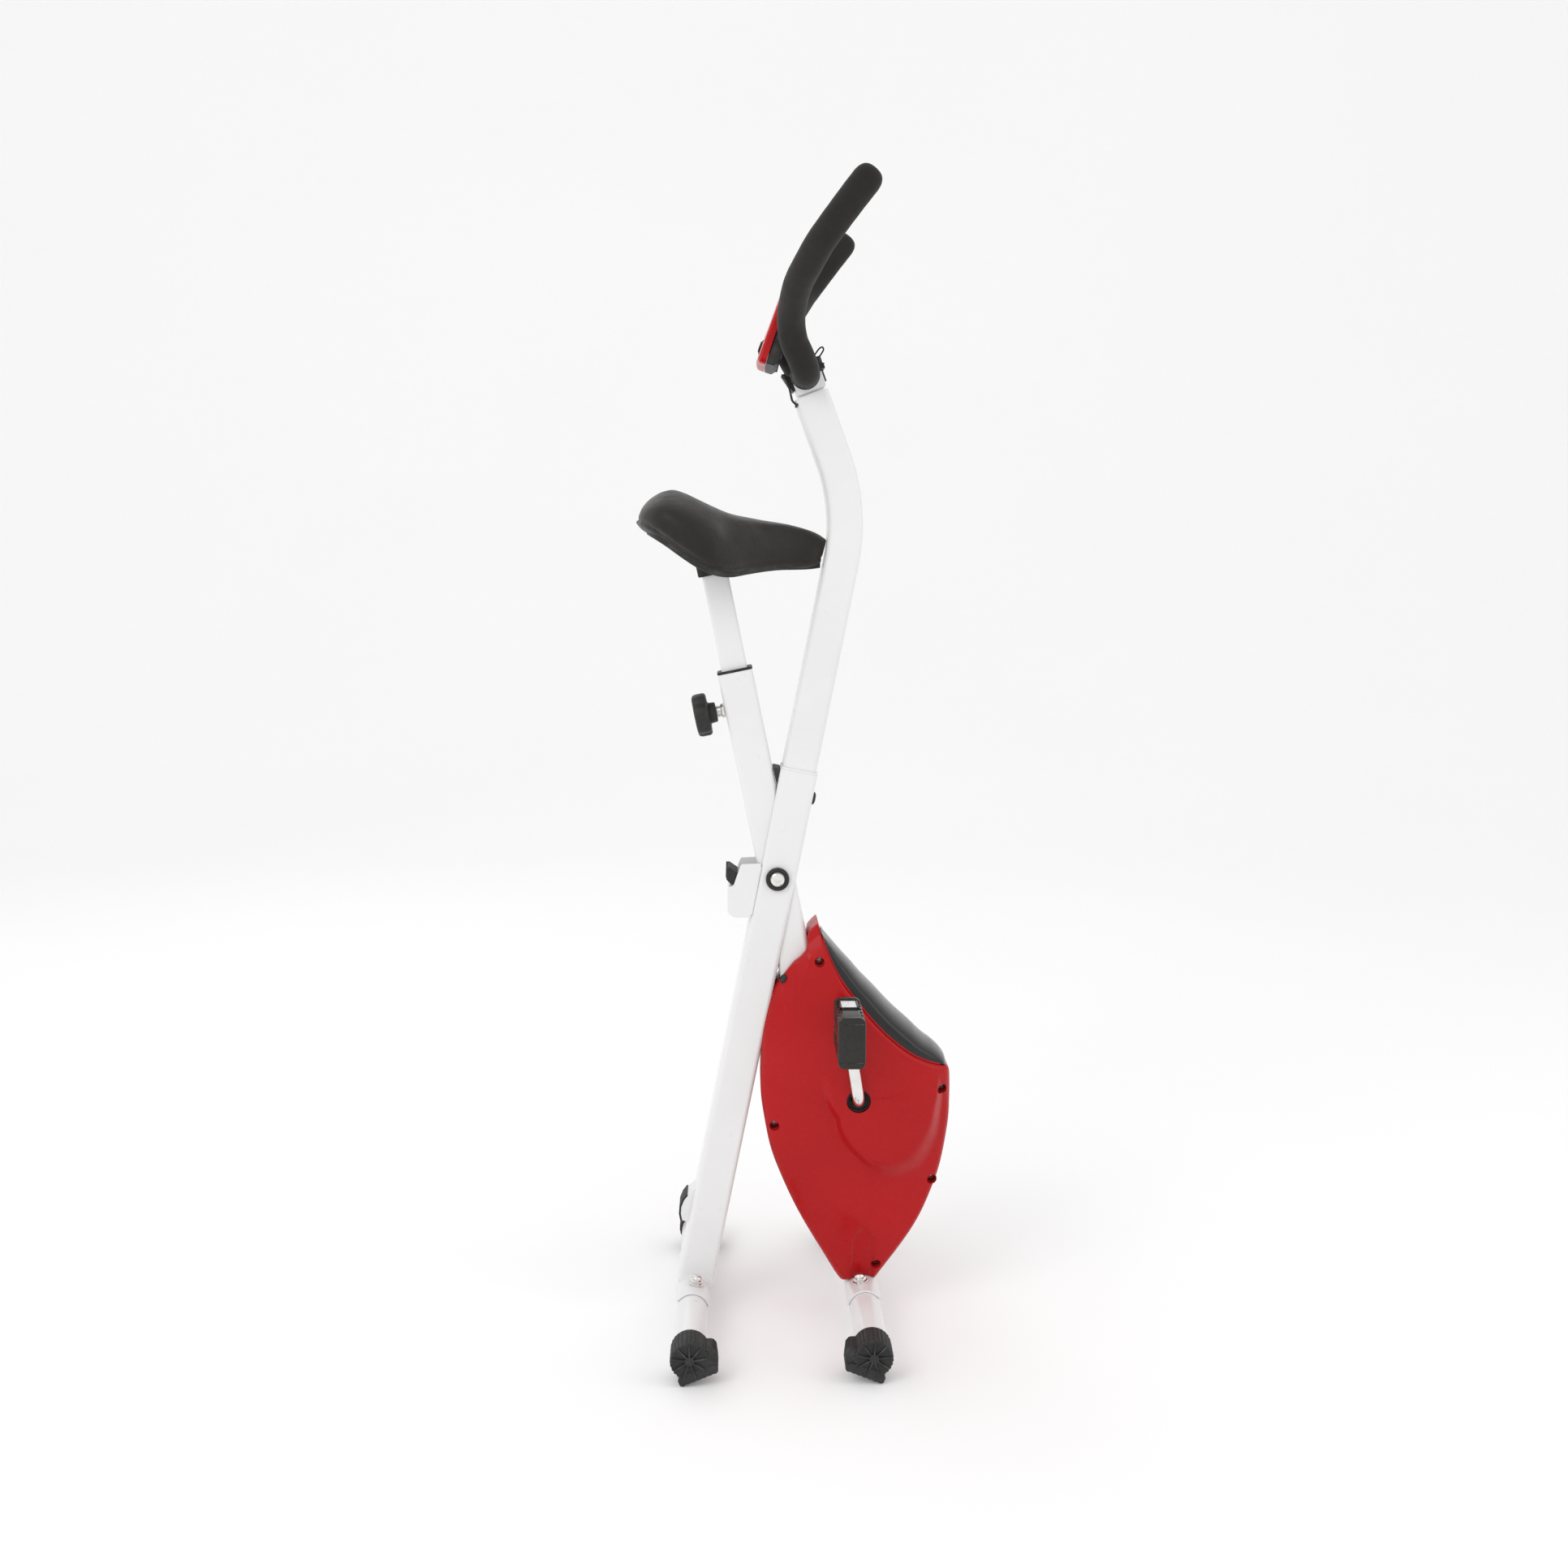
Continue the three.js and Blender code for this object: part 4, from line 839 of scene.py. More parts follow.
bevel(bm, 0.9, 2, 50)
piece("clamp_strap", bm, "main_frame", "black_plastic", ("handlebar_clamp_cap",))
bm = bmesh.new()
for y in (0,):
    m = M_BAR @ Matrix.Translation((19.5, y, 0))
    lathe(bm, [(0, -13), (4, -13), (4, 6.2), (8.2, 6.2), (8.4, 6.8), (8.0, 7.7), (6.5, 7.9), (6.5, 15.4), (5.6, 16.8), (3.4, 17.0), (3.4, 13.6), (0, 13.2)], 60, m,
          lambda r, t, i: r / cos(((t + pi / 6) % (pi / 3)) - pi / 6) if i in (9, 10) else (r * (1 + 0.02 * cos(24 * t)) if i in (7, 8) else r))
piece("clamp_bolt_head", bm, "main_frame", "black_plastic", ("clamp_bolt",), weighted=False, angle=30)

# cable tie round the grip with its tail looped up
bm = bmesh.new()
ringpts = [floor_at(32 + 16.7 * cos(a), -31, 1146 + 16.7 * sin(a)) for a in (2 * pi * k / 48 for k in range(48))]
rows = []
for k in range(48):
    a = 2 * pi * k / 48
    d = Vector((cos(a), 0, sin(a)))
    c0 = floor_at(32, -31, 1146)
    rows.append([c0 + d * r + Vector((0, y, 0)) for r, y in ((16.1, -1.7), (17.1, -1.5), (17.3, 0), (17.1, 1.5), (16.1, 1.7))])
rings(bm, rows + [rows[0]], True, False, False)
piece("cable_tie_band", bm, "main_frame", "rubber_black", weighted=False, angle=60)
loop = catmull([floor_at(*p) for p in ((39.5, -29, 1156.5), (41.5, -29.5, 1165), (45.3, -30, 1171.6), (49.4, -30, 1176.2), (52.0, -30, 1176.8), (53.0, -30, 1174.2),
                                       (50.8, -30.3, 1169.8), (47.4, -30.6, 1164.8), (43.5, -31, 1158), (41.5, -31, 1154.5))], 8)
bm = bmesh.new()
rod(bm, loop, 0.95, 10, (0, 1, 0))
piece("cable_tie_tail", bm, "main_frame", "rubber_black", weighted=False, angle=60)

# ------------------------------------------------------------------ display
M_CON = Matrix.Translation((-27 + FX, 0, 1155.5)) @ Matrix.Rotation(radians(20.5), 4, "Y")


def by_angle(poly, cy, cz, n):
    """Loop of n points of an outline, one for each angle about (cy, cz)."""
    P = np.array(poly + [poly[0]], float)
    dense = []
    for a, b in zip(P, P[1:]):
        for k in range(12):
            dense.append(a + (b - a) * k / 12)
    dense = np.array(dense)
    ang = np.arctan2(dense[:, 1] - cz, dense[:, 0] - cy)
    o = np.argsort(ang)
    ang, dense = ang[o], dense[o]
    ang = np.concatenate([ang - 2 * pi, ang, ang + 2 * pi])
    dense = np.concatenate([dense] * 3)
    t = np.linspace(-pi, pi, n, endpoint=False)
    return [(float(np.interp(x, ang, dense[:, 0])), float(np.interp(x, ang, dense[:, 1]))) for x in t]


def shift_rr(y0, y1, z0, z1, r, g=0.0):
    return round_poly([(y0 + g, z0 + g), (y1 - g, z0 + g), (y1 - g, z1 - g), (y0 + g, z1 - g)], max(r - g, 0.5), 8)


NB, cz = 240, 67
loops = []
for (poly, xf) in (
        (shift_rr(-57, 57, 4.5, 105, 15), lambda y, z: 12 - 3 * z / 105),
        (shift_rr(-57, 57, 4.5, 105, 15), lambda y, z: 5.0),
        (shift_rr(-57, 57, 4.5, 105, 15, 0.6), lambda y, z: 3.0 + 0.0006 * y * y),
        (shift_rr(-57, 57, 4.5, 105, 15, 2.2), lambda y, z: 1.2 + 0.0006 * y * y),
        (shift_rr(-57, 57, 4.5, 105, 15, 4.6), lambda y, z: 0.35 + 0.0006 * y * y),
        (shift_rr(-49, 49, 33, 99.5, 9), lambda y, z: 0.0005 * y * y),
        (shift_rr(-42.5, 42.5, 40, 94, 5), lambda y, z: 0.0005 * y * y),
        (shift_rr(-41, 41, 41.2, 92.8, 4), lambda y, z: 0.6 + 0.0005 * y * y),
        (shift_rr(-40, 40, 42, 92, 3), lambda y, z: 2.2),
        (shift_rr(-40, 40, 42, 92, 3), lambda y, z: 5.0)):
    loops.append([M_CON @ Vector((xf(y, z), y, z)) for y, z in by_angle(poly, 0, cz, NB)])
bm = bmesh.new()
rings(bm, loops + [loops[0]], True, False, False)
piece("console_face", bm, "main_frame", "red_shell", ("console_bezel",), weighted=False, angle=40)

bm = bmesh.new()
rows = [[M_CON @ Vector((x, y, z)) for y, z in by_angle(shift_rr(-39.7, 39.7, 42.3, 91.7, 3, g), 0, cz, 120)] for x, g in ((4.9, 0), (1.6, 0), (1.15, 0.5), (1.05, 1.2))]
rings(bm, rows, True, True, True)
piece("console_window", bm, "main_frame", "display_lens", ("console_lens",), weighted=True)
bm = bmesh.new()
rows = [[M_CON @ Vector((x, y, z)) for y, z in by_angle(shift_rr(-31, 31, 52, 86, 2, g), 0, cz, 80)] for x, g in ((1.2, 0), (0.95, 0.0), (0.85, 0.3))]
rings(bm, rows, True, True, True)
piece("console_screen", bm, "main_frame", "display_lens", mat="lcd")
# a generic seven-segment readout and two rule lines
bm = bmesh.new()
SEGS = {"0": "abcdef", "1": "bc", "2": "abged", "5": "afgcd", "8": "abcdefg"}
GEOM = {"a": (0, 1, 1), "d": (0, 0, 1), "g": (0, 0.5, 1), "f": (0, 0.5, 0), "b": (1, 0.5, 0), "e": (0, 0, 0), "c": (1, 0, 0)}
w, h, th = 6.4, 12.6, 1.35
for i, ch in enumerate("02510"):
    y0 = -22 + i * 9.4 + (2.4 if i > 1 else 0)
    for s in SEGS[ch]:
        cx, czz, hor = GEOM[s]
        if hor:
            q = [(y0 + 0.9, 60 + czz * h - th / 2), (y0 + w - 0.9, 60 + czz * h - th / 2), (y0 + w - 0.9, 60 + czz * h + th / 2), (y0 + 0.9, 60 + czz * h + th / 2)]
        else:
            q = [(y0 + cx * w - th / 2, 60 + czz * h + 0.9), (y0 + cx * w + th / 2, 60 + czz * h + 0.9), (y0 + cx * w + th / 2, 60 + czz * h + h / 2 - 0.9), (y0 + cx * w - th / 2, 60 + czz * h + h / 2 - 0.9)]
        a = [bm.verts.new(M_CON @ Vector((0.9, -y, z))) for y, z in q]
        b = [bm.verts.new(M_CON @ Vector((0.72, -y, z))) for y, z in q]
        bm.faces.new(a)
        bm.faces.new(list(reversed(b)))
        for k in range(4):
            bm.faces.new((a[k], a[(k + 1) % 4], b[(k + 1) % 4], b[k]))
for z in (55.2, 78.5):
    a = [bm.verts.new(M_CON @ Vector((0.9, y, zz))) for y, zz in ((-28, z), (28, z), (28, z + 0.6), (-28, z + 0.6))]
    b = [bm.verts.new(M_CON @ Vector((0.74, y, zz))) for y, zz in ((-28, z), (28, z), (28, z + 0.6), (-28, z + 0.6))]
    bm.faces.new(a)
    bm.faces.new(list(reversed(b)))
    for k in range(4):
        bm.faces.new((a[k], a[(k + 1) % 4], b[(k + 1) % 4], b[k]))
piece("console_digits", bm, "main_frame", "display_lens", weighted=False, mat="lcd_ink", weld=0)

mb = M_CON @ aim((0, -18, 24), (-1, 0, 0), (0, 0, 1))
bm = bmesh.new()
lathe(bm, [(7.1, -2), (8.6, -2), (8.6, 0.15), (8.2, 0.6), (7.5, 0.6), (7.1, 0.2)], 56, mb, loop=True)
piece("console_button_ring", bm, "main_frame", "black_plastic", weighted=False)
bm = bmesh.new()
lathe(bm, [(0, -4), (6.5, -4), (6.5, 1.0), (6.2, 1.7), (5.2, 2.1), (3.4, 1.9), (0, 1.7)], 56, mb)
piece("console_button_cap", bm, "console_key", "black_plastic", ("console_button",), weighted=False)

bm = bmesh.new()
plate(bm, round_poly([(12.4, 5.5), (9.7, 103), (14, 103), (24, 60), (26, 12), (21, 6)], [1, 1, 3, 8, 4, 3], 5), -53, 53, M_CON)
bevel(bm, 2.6, 4, 50, keep=lambda e: abs(abs(e.verts[0].co.y) - 53) < 0.01 and abs(abs(e.verts[1].co.y) - 53) < 0.01)
for yy in (-40, 40):
    for z in (14, 84):
        x = 25.2 if z < 50 else 17.6
        n_ = (1, 0, 0.1) if z < 50 else (1, 0, 0.27)
        lathe(bm, [(0, -3), (4.6, -3), (4.6, 0.7), (4.0, 1.2), (2.9, 1.2), (2.7, -0.6), (0, -0.9)], 28, M_CON @ aim((x, yy, z), n_))
t = bmesh.new()
plate(t, round_poly([(23.2, 24), (26.2, 24), (24.8, 50), (21.8, 50)], 0.6, 3), -26, 26, M_CON)
bevel(t, 0.7, 2, 50)
merge(bm, t)
for k in range(4):
    t = bmesh.new()
    plate(t, [(25.2, 29 + 2 * k), (26.4, 29 + 2 * k), (26.4, 30 + 2 * k), (25.2, 30 + 2 * k)], -9, 9, M_CON)
    merge(bm, t)
piece("console_rear_case", bm, "main_frame", "black_plastic", ("console_back",), weld=0)

bm = bmesh.new()
plate(bm, round_poly([(3.5, 1149.0), (17, 1144.5), (21.5, 1135), (20, 1126), (14, 1134)], [1, 2, 2, 1.5, 3], 4), -14, 14)
bevel(bm, 1.0, 3, 50)
piece("console_mount_wedge", bm, "main_frame", "black_plastic", ("console_bracket",))
lead = fillet_path([floor_at(7.5, -18, 1146), floor_at(14.5, -18, 1131), floor_at(17.5, -18, 1117), floor_at(23.4, -18, 1112.5)], [8, 7], 8)
bm = bmesh.new()
rod(bm, lead, 1.3, 14)
m = aim(lead[0], lead[0] - lead[1])
lathe(bm, [(0, -4.5), (1.6, -4.5), (2.3, -2.5), (2.5, 0.5), (2.2, 1.4), (0, 1.4)], 20, m)
m = aim(lead[-1], lead[-2] - lead[-1])
lathe(bm, [(0, -1), (3.6, -1), (3.6, 0.4), (2.9, 1.3), (1.8, 1.6), (1.5, 3.2), (0, 3.2)], 24, m)
piece("console_lead_run", bm, "main_frame", "rubber_black", ("console_lead",), weighted=False)


# ------------------------------------------------------------------ seat
TOP = [(-169.5, 979), (-162, 992), (-148, 1004.5), (-129, 1010.5), (-110, 1006), (-92, 998), (-73, 989.5), (-54.6, 982), (-36, 978.3), (-17, 974.7), (2, 972), (20.5, 968.2), (39, 962.6), (58.6, 956)]
BOT = [(-169.5, 975.5), (-148, 964.5), (-129.5, 953.4), (-111, 940.3), (-92.5, 928.2), (-74, 919.8), (-55, 917), (-36, 919.8), (-17, 922.5), (2, 924.3), (20, 924.6), (39, 925.3), (58.6, 928)]
PLAN = [(-169.5, 20), (-168, 34), (-166, 46), (-156, 80), (-136, 106), (-108, 118), (-78, 114), (-50, 94), (-24, 70), (0, 50), (24, 36), (44, 30), (54, 25), (58.5, 18)]


def smooth_line(pts, n=240):
    c = catmull([Vector((x, 0, z)) for x, z in pts], 16)
    return np.array([p.x for p in c]), np.array([p.z for p in c])


tx, tz = smooth_line(TOP)
bx, bz = smooth_line(BOT)
px_, pw = smooth_line(PLAN)


def seat_section(x, shrink=0.0, n=56):
    zt, zb = float(np.interp(x, tx, tz)) + 2.6 - shrink + 6.0 * smoothstep(34, 60, x), float(np.interp(x, bx, bz)) + shrink - 0.6
    w = max(3.0, float(np.interp(x, px_, pw)) - shrink)
    zc = zb + (zt - zb) * 0.42
    out = []
    for k in range(n):
        a = 2 * pi * k / n
        ca, sa = cos(a), sin(a)
        e_top, e_bot = 2.4, 7.0
        e = e_top if sa >= 0 else e_bot
        y = w * math.copysign(abs(ca) ** (2 / e), ca)
        z = zc + ((zt - zc) if sa >= 0 else (zc - zb)) * math.copysign(abs(sa) ** (2 / e), sa)
        # the wide rear is crowned at its middle and dips a little beside it
        back = smoothstep(-40, -120, x)
        if sa > 0:
            z += 2.2 * back * math.exp(-((abs(y) - 52) / 26) ** 2) - 2.6 * back * math.exp(-(y / 22) ** 2)
        # the nose is cut slanting, along the post
        slant = (958 - z) * 0.2016 * smoothstep(15, 58, x)
        out.append(floor_at(x - slant, y, z))
    return out


SH = 2.0
xs = []
x0, x1 = -174.0, 60.5
for k in range(61):
    f = k / 60
    xs.append(x0 + (x1 - x0) * (0.5 - 0.5 * cos(pi * f)) if f in (0, 1) else x0 + (x1 - x0) * (0.35 * f + 0.65 * (0.5 - 0.5 * cos(pi * f))))
bm = bmesh.new()
rings(bm, [seat_section(x, SH) for x in xs])
bmesh.ops.recalc_face_normals(bm, faces=bm.faces)
bmesh.ops.scale(bm, vec=(0.001,) * 3, verts=bm.verts)
me = bpy.data.meshes.new("seat_cushion")
bm.to_mesh(me)
bm.free()
seat = bpy.data.objects.new("seat_cushion", me)
scene.collection.objects.link(seat)


def bake(ob):
    bpy.context.view_layer.update()
    dg = bpy.context.evaluated_depsgraph_get()
    new = bpy.data.meshes.new_from_object(ob.evaluated_get(dg))
    ob.modifiers.clear()
    old = ob.data
    ob.data = new
    new.name = ob.name
    bpy.data.meshes.remove(old)
    return ob


r = seat.modifiers.new("remesh", "REMESH")
r.mode, r.voxel_size = "VOXEL", 0.005
bake(seat)
rest = np.array([v.co for v in seat.data.vertices], float)
cl = seat.modifiers.new("cloth", "CLOTH")
cl.settings.use_pressure = True
cl.settings.uniform_pressure_force = 4.0
cl.settings.effector_weights.gravity = 0
cl.settings.tension_stiffness = cl.settings.compression_stiffness = 12
cl.settings.bending_stiffness = 1.5
cl.settings.quality = 5
cl.point_cache.frame_start, cl.point_cache.frame_end = 1, 20
scene.frame_start, scene.frame_end = 1, 20
for f in range(1, 21):
    scene.frame_set(f)
dg = bpy.context.evaluated_depsgraph_get()
tmp = bpy.data.meshes.new_from_object(seat.evaluated_get(dg))
now = np.array([v.co for v in tmp.vertices], float)
seat.modifiers.clear()
bpy.data.meshes.remove(tmp)
scene.frame_set(1)
move = now - rest
ln = np.linalg.norm(move, axis=1, keepdims=True)
cap = 0.0055
move = np.where(ln > cap, move * cap / np.maximum(ln, 1e-9), move)
now = rest + move
# the underside stays on its pan, and the nose clear of the post
lowx = now[:, 0] * 1000 - FX
floor_z = np.interp(lowx, bx, bz) - 0.4
now[:, 2] = np.maximum(now[:, 2], floor_z / 1000)
post_x = (FX + 61.6 + (now[:, 2] * 1000 - 956) * 0.2016) / 1000
now[:, 0] = np.minimum(now[:, 0], post_x)
for v, c in zip(seat.data.vertices, now):
    v.co = c
bm = bmesh.new()
bm.from_mesh(seat.data)
for _ in range(3):
    bmesh.ops.smooth_vert(bm, verts=bm.verts, factor=0.5, use_axis_x=True, use_axis_y=True, use_axis_z=True)
bm.to_mesh(seat.data)
bm.free()
sb = seat.modifiers.new("fine", "SUBSURF")
sb.levels = sb.render_levels = 1
bake(seat)
# a sewn channel round the side, two thirds of the way down, with a raised roll below it
V = np.array([v.co for v in seat.data.vertices], float) * 1000
N = np.array([v.normal for v in seat.data.vertices], float)
X, Y, Z = V[:, 0] - FX, V[:, 1], V[:, 2]
zt, zb = np.interp(X, tx, tz), np.interp(X, bx, bz)
hh = np.clip((Z - zb) / np.maximum(zt - zb, 8), 0, 1)
wide = np.interp(X, px_, pw)
d = (Z - (zb + 9.5)) / 1.5
groove = np.exp(-d * d) * (np.abs(N[:, 2]) < 0.75) * 0.9
roll = np.exp(-((Z - (zb + 5.5)) / 2.4) ** 2) * (np.abs(N[:, 2]) < 0.8) * 0.7
V = V - N * groove[:, None] + N * roll[:, None]
V[:, 0] = np.minimum(V[:, 0], FX + 61.8 + (V[:, 2] - 956) * 0.2016)
for v, c in zip(seat.data.vertices, V / 1000):
    v.co = c
dress(seat, "saddle_slide", "seat_cover", ("seat_pad",), angle=70, weighted=False)

# pan under the seat: a moulded tray with ribs, and the socket for the post
bm = bmesh.new()
secs = []
for x in np.linspace(-150, 51, 40):
    zb_ = float(np.interp(x, bx, bz))
    w = max(6.0, float(np.interp(x, px_, pw)) - 15)
    f = min(smoothstep(-150.5, -142, x), smoothstep(51.5, 44, x))
    w *= 0.9 + 0.1 * f
    secs.append([floor_at(x, y, z) for y, z in ((-w, zb_ + 7), (-w, zb_ - 0.4), (-w + 1.5, zb_ - 1.6), (-w * 0.5, zb_ - 1.9), (0, zb_ - 1.9), (w * 0.5, zb_ - 1.9), (w - 1.5, zb_ - 1.6), (w, zb_ - 0.4), (w, zb_ + 7))])
rings(bm, secs)
for sy in (-1, 1):
    for k, x in enumerate((-120, -96, -72)):
        t = bmesh.new()
        zc_ = float(np.interp(x, bx, bz))
        w = float(np.interp(x, px_, pw)) - 18
        plate(t, [(x - 1.2, zc_ - 0.9), (x + 1.2, zc_ - 0.9), (x + 1.2, zc_ + 4), (x - 1.2, zc_ + 4)], min(sy * 24, sy * w), max(sy * 24, sy * w))
        merge(bm, t)
t = bmesh.new()
rows = [[seat_at(x, y, k) for x, y in rrect(40, 40, 6, 6)] for k in (371, 372, 390)]
rows[0] = [seat_at(x, y, 370.4) for x, y in rrect(38, 38, 5, 6)]
rings(t, rows)
merge(bm, t)
piece("seat_pan", bm, "saddle_slide", "black_plastic", ("seat_base",), weld=0)

# height knob: seven-lobed head on a hub, with a cap; threaded boss
mk = aim(seat_at(-31.4, 0, 210), M_SEAT.to_3x3() @ Vector((-1, 0, 0)), (0, 0, 1))
lob = lambda r, t, i: r * (1 - 0.075 * (0.5 + 0.5 * cos(7 * t)) ** 2.2) if 5 <= i <= 12 else r
bm = bmesh.new()
lathe(bm, [(0, 0), (9.5, 0), (11.6, 0.5), (12, 1.5), (12.6, 8.0), (16, 9.2), (23.2, 9.4), (25.2, 10.6), (26.0, 13.0), (26.0, 21.5), (25.0, 25.0), (22.6, 26.4), (18.5, 26.6), (16.5, 25.4), (14.2, 25.0), (13.6, 25.9), (6, 26.4), (0, 26.5)], 140, mk, lob)
piece("height_knob_head", bm, "height_knob", "black_plastic", ("seat_knob",), weighted=False, angle=38)
bm = bmesh.new()
prof = [(5.3, -9.7), (8.9, -9.7), (9.0, -9.3), (9.0, -6.4), (8.4, -5.9), (7.0, -5.7)]
h = -5.5
while h < -0.9:
    prof += [(7.2, h), (6.7, h + 0.42)]
    h += 0.85
prof += [(6.9, -0.5), (5.3, -0.5)]
lathe(bm, prof, 48, mk, loop=True)
piece("knob_boss_nut", bm, "seat_frame", "chrome", ("knob_boss",), weighted=False, angle=30)


# ------------------------------------------------------------------ housing
CX, CZ = 97.0, 287.0
CONCAVE = [(50.2, 498.2), (55.9, 475.2), (68.9, 445), (80, 427), (93.8, 409.7), (106.8, 392.6), (125.3, 372.1), (143.6, 355.2), (163.5, 340.3), (183.5, 330), (201.5, 323.4)]
REST = [(206.3, 322.6), (209.6, 318), (211.5, 300), (212.2, 276.5), (211.5, 255), (209.2, 236.1), (199.6, 188.8), (183.5, 147.4), (167.7, 118.1), (128.7, 59.9), (120.5, 47.5), (116, 45.6), (87, 45.3), (80, 45.8), (76.5, 49), (54.7, 87.3), (24.5, 141.6), (4.5, 184.9), (-8.7, 220.1), (-16.5, 257.8), (-20.6, 287.7), (-20.7, 324.3), (-18.0, 364.1), (-13.3, 390.3), (-8.6, 406.5), (-3.0, 421.6), (4.9, 432.8), (11.8, 441.8), (19.6, 451.6), (26.6, 457.2), (33.2, 464.6), (35.9, 471.4), (36.0, 479.7), (37.7, 487.6), (42.6, 493.8), (47.6, 498.6)]
c1 = [(p.x, p.z) for p in catmull([Vector((x, 0, z)) for x, z in CONCAVE], 8)]
c2 = [(p.x, p.z) for p in catmull([Vector((x, 0, z)) for x, z in REST], 6)]
LINE = np.array(c1 + c2, float)
A_, B_ = LINE, np.roll(LINE, -1, axis=0)


def dist_to_line(x, z):
    """Distance of each point from the outline."""
    P = np.stack([x, z], -1)[..., None, :]
    ab = B_ - A_
    t = np.clip(((P - A_) * ab).sum(-1) / np.maximum((ab * ab).sum(-1), 1e-9), 0, 1)
    q = A_ + ab * t[..., None]
    return np.sqrt(((P - q) ** 2).sum(-1)).min(-1)


def outline_radius(th):
    ang = np.arctan2(LINE[:, 1] - CZ, LINE[:, 0] - CX)
    out = []
    for t in th:
        d = np.array([math.cos(t), math.sin(t)])
        best = 0
        a = A_ - (CX, CZ)
        b = B_ - (CX, CZ)
        ca = a[:, 0] * d[1] - a[:, 1] * d[0]
        cb = b[:, 0] * d[1] - b[:, 1] * d[0]
        hit = (ca * cb <= 0) & (np.abs(ca - cb) > 1e-12)
        k = ca[hit] / (ca[hit] - cb[hit])
        p = a[hit] + (b[hit] - a[hit]) * k[:, None]
        r = p @ d
        out.append(r[r > 0].max())
    return np.array(out)


def sstep(a, b, x):
    t = np.clip((x - a) / (b - a), 0, 1)
    return t * t * (3 - 2 * t)


def seg_dist(x, z, a, b):
    a, b = np.array(a, float), np.array(b, float)
    ab = b - a
    t = np.clip(((x - a[0]) * ab[0] + (z - a[1]) * ab[1]) / (ab @ ab), 0, 1)
    return np.hypot(x - a[0] - ab[0] * t, z - a[1] - ab[1] * t), t


in_a = np.radians([150, 160.7, 204, 243.8, 268, 287.7, 314.3, 347.6, 369.3, 385])
in_r = np.array([72, 66, 54, 66.9, 76.8, 75.5, 65, 60.2, 65.2, 72])
out_a = np.radians([150, 153.7, 206.2, 246.3, 265.1, 282, 296, 311, 337.1, 369, 385])
out_r = np.array([86, 83.6, 69, 89.6, 106.5, 114.2, 115.3, 100.7, 81.7, 73, 76])


def height(x, z):
    """How far the side stands out from the middle, at each point seen from the side."""
    e = 63 * np.sqrt(np.clip(1 - ((x - 95) / 137) ** 2 - ((z - 268) / 262) ** 2, 0.02, 1))
    k = 3.0
    hmin = np.clip(0.5 + 0.5 * (58 - e) / k, 0, 1)
    e = 58 * (1 - hmin) + e * hmin - k * hmin * (1 - hmin)
    # step of the raised middle: a crescent slope under the crank that dies out upwards
    rx, rz = x - 128, z - 290
    a = np.arctan2(rz, rx)
    a = np.where(a < math.radians(80), a + 2 * pi, a)
    r = np.hypot(rx, rz)
    ri, ro = np.interp(a, in_a, in_r), np.interp(a, out_a, out_r)
    t = np.clip((r - ri) / np.maximum(ro - ri, 4), 0, 1)
    deg_ = np.degrees(a)
    fade = sstep(150, 196, deg_) * (1 - sstep(345, 384, deg_))
    t = np.clip((t - 0.08) / 0.8, 0, 1)
    drop = 11.0 * (t * t * (3 - 2 * t)) * fade
    e = e + 1.5 * fade * (1 - sstep(0, 1, t)) - drop * (1 - sstep(0, 70, r - ro) * 0.8)
    # two low ribs beside the tube, and the arch over the foot tube
    for p, q, hgt in (((20.4, 452), (17.5, 375.4), 1.3), ((2.7, 422), (12.6, 388.7), 1.1), ((38.5, 458), (22, 405), 1.0)):
        d, s = seg_dist(x, z, p, q)
        e = e + hgt * np.exp(-(d / 2.4) ** 2) * (1 - sstep(0.55, 1.0, s))
    e = np.where(z > 430, np.maximum(e, 27.6 * sstep(430, 450, z)), e)
    dx = np.abs(x - 104.8)
    dome = 121 - np.clip(dx - 0, 0, 40) ** 2 * 0.094
    inside = np.minimum((13.4 - dx), (dome - z) * 0.8)
    e = e - 2.6 * sstep(-1.6, 1.6, inside)
    return e


th = set(np.round(np.linspace(-pi, pi, 520, endpoint=False), 5))
th |= set(np.round(np.linspace(radians(96), radians(118), 60), 5))
th |= set(np.round(np.linspace(radians(12), radians(24), 24), 5))
th |= set(np.round(np.linspace(radians(-104), radians(-74), 70), 5))
for x, z in ((49.5, 497), (43.9, 484)):
    th.add(round(math.atan2(z - CZ, x - CX), 5))
th = np.array(sorted(th))
R = outline_radius(th)
near = np.array([0, 0.25, 0.7, 1.4, 2.4, 3.6, 5.0, 6.6, 8.6])


def shell_rows(inset_by, drop, r_hole, fillet, count=84):
    rows = []
    Ri = R - inset_by * 1.25
    offs = near * (1.0 if inset_by == 0 else 0.8)
    fr = np.linspace(0, 1, count)
    rad = []
    for k in range(count - 1):
        rad.append(r_hole + (Ri - offs[-1] - r_hole) * (fr[k]))
    for o in reversed(offs):
        rad.append(Ri - o)
    for rr in rad:
        x, z = CX + rr * np.cos(th), CZ + rr * np.sin(th)
        e = height(x, z) - drop
        d = np.maximum(dist_to_line(x, z) - inset_by, 0)
        f = np.minimum(np.where(z > 425, fillet - (fillet - 1.6) * sstep(425, 455, z), fillet), np.maximum(e - 2, 1))
        dd = np.clip(d, 0, f)
        e = np.where(d < f, e - f + np.sqrt(np.maximum(f * f - (f - dd) ** 2, 0)), e)
        rows.append((x, e, z))
    return rows


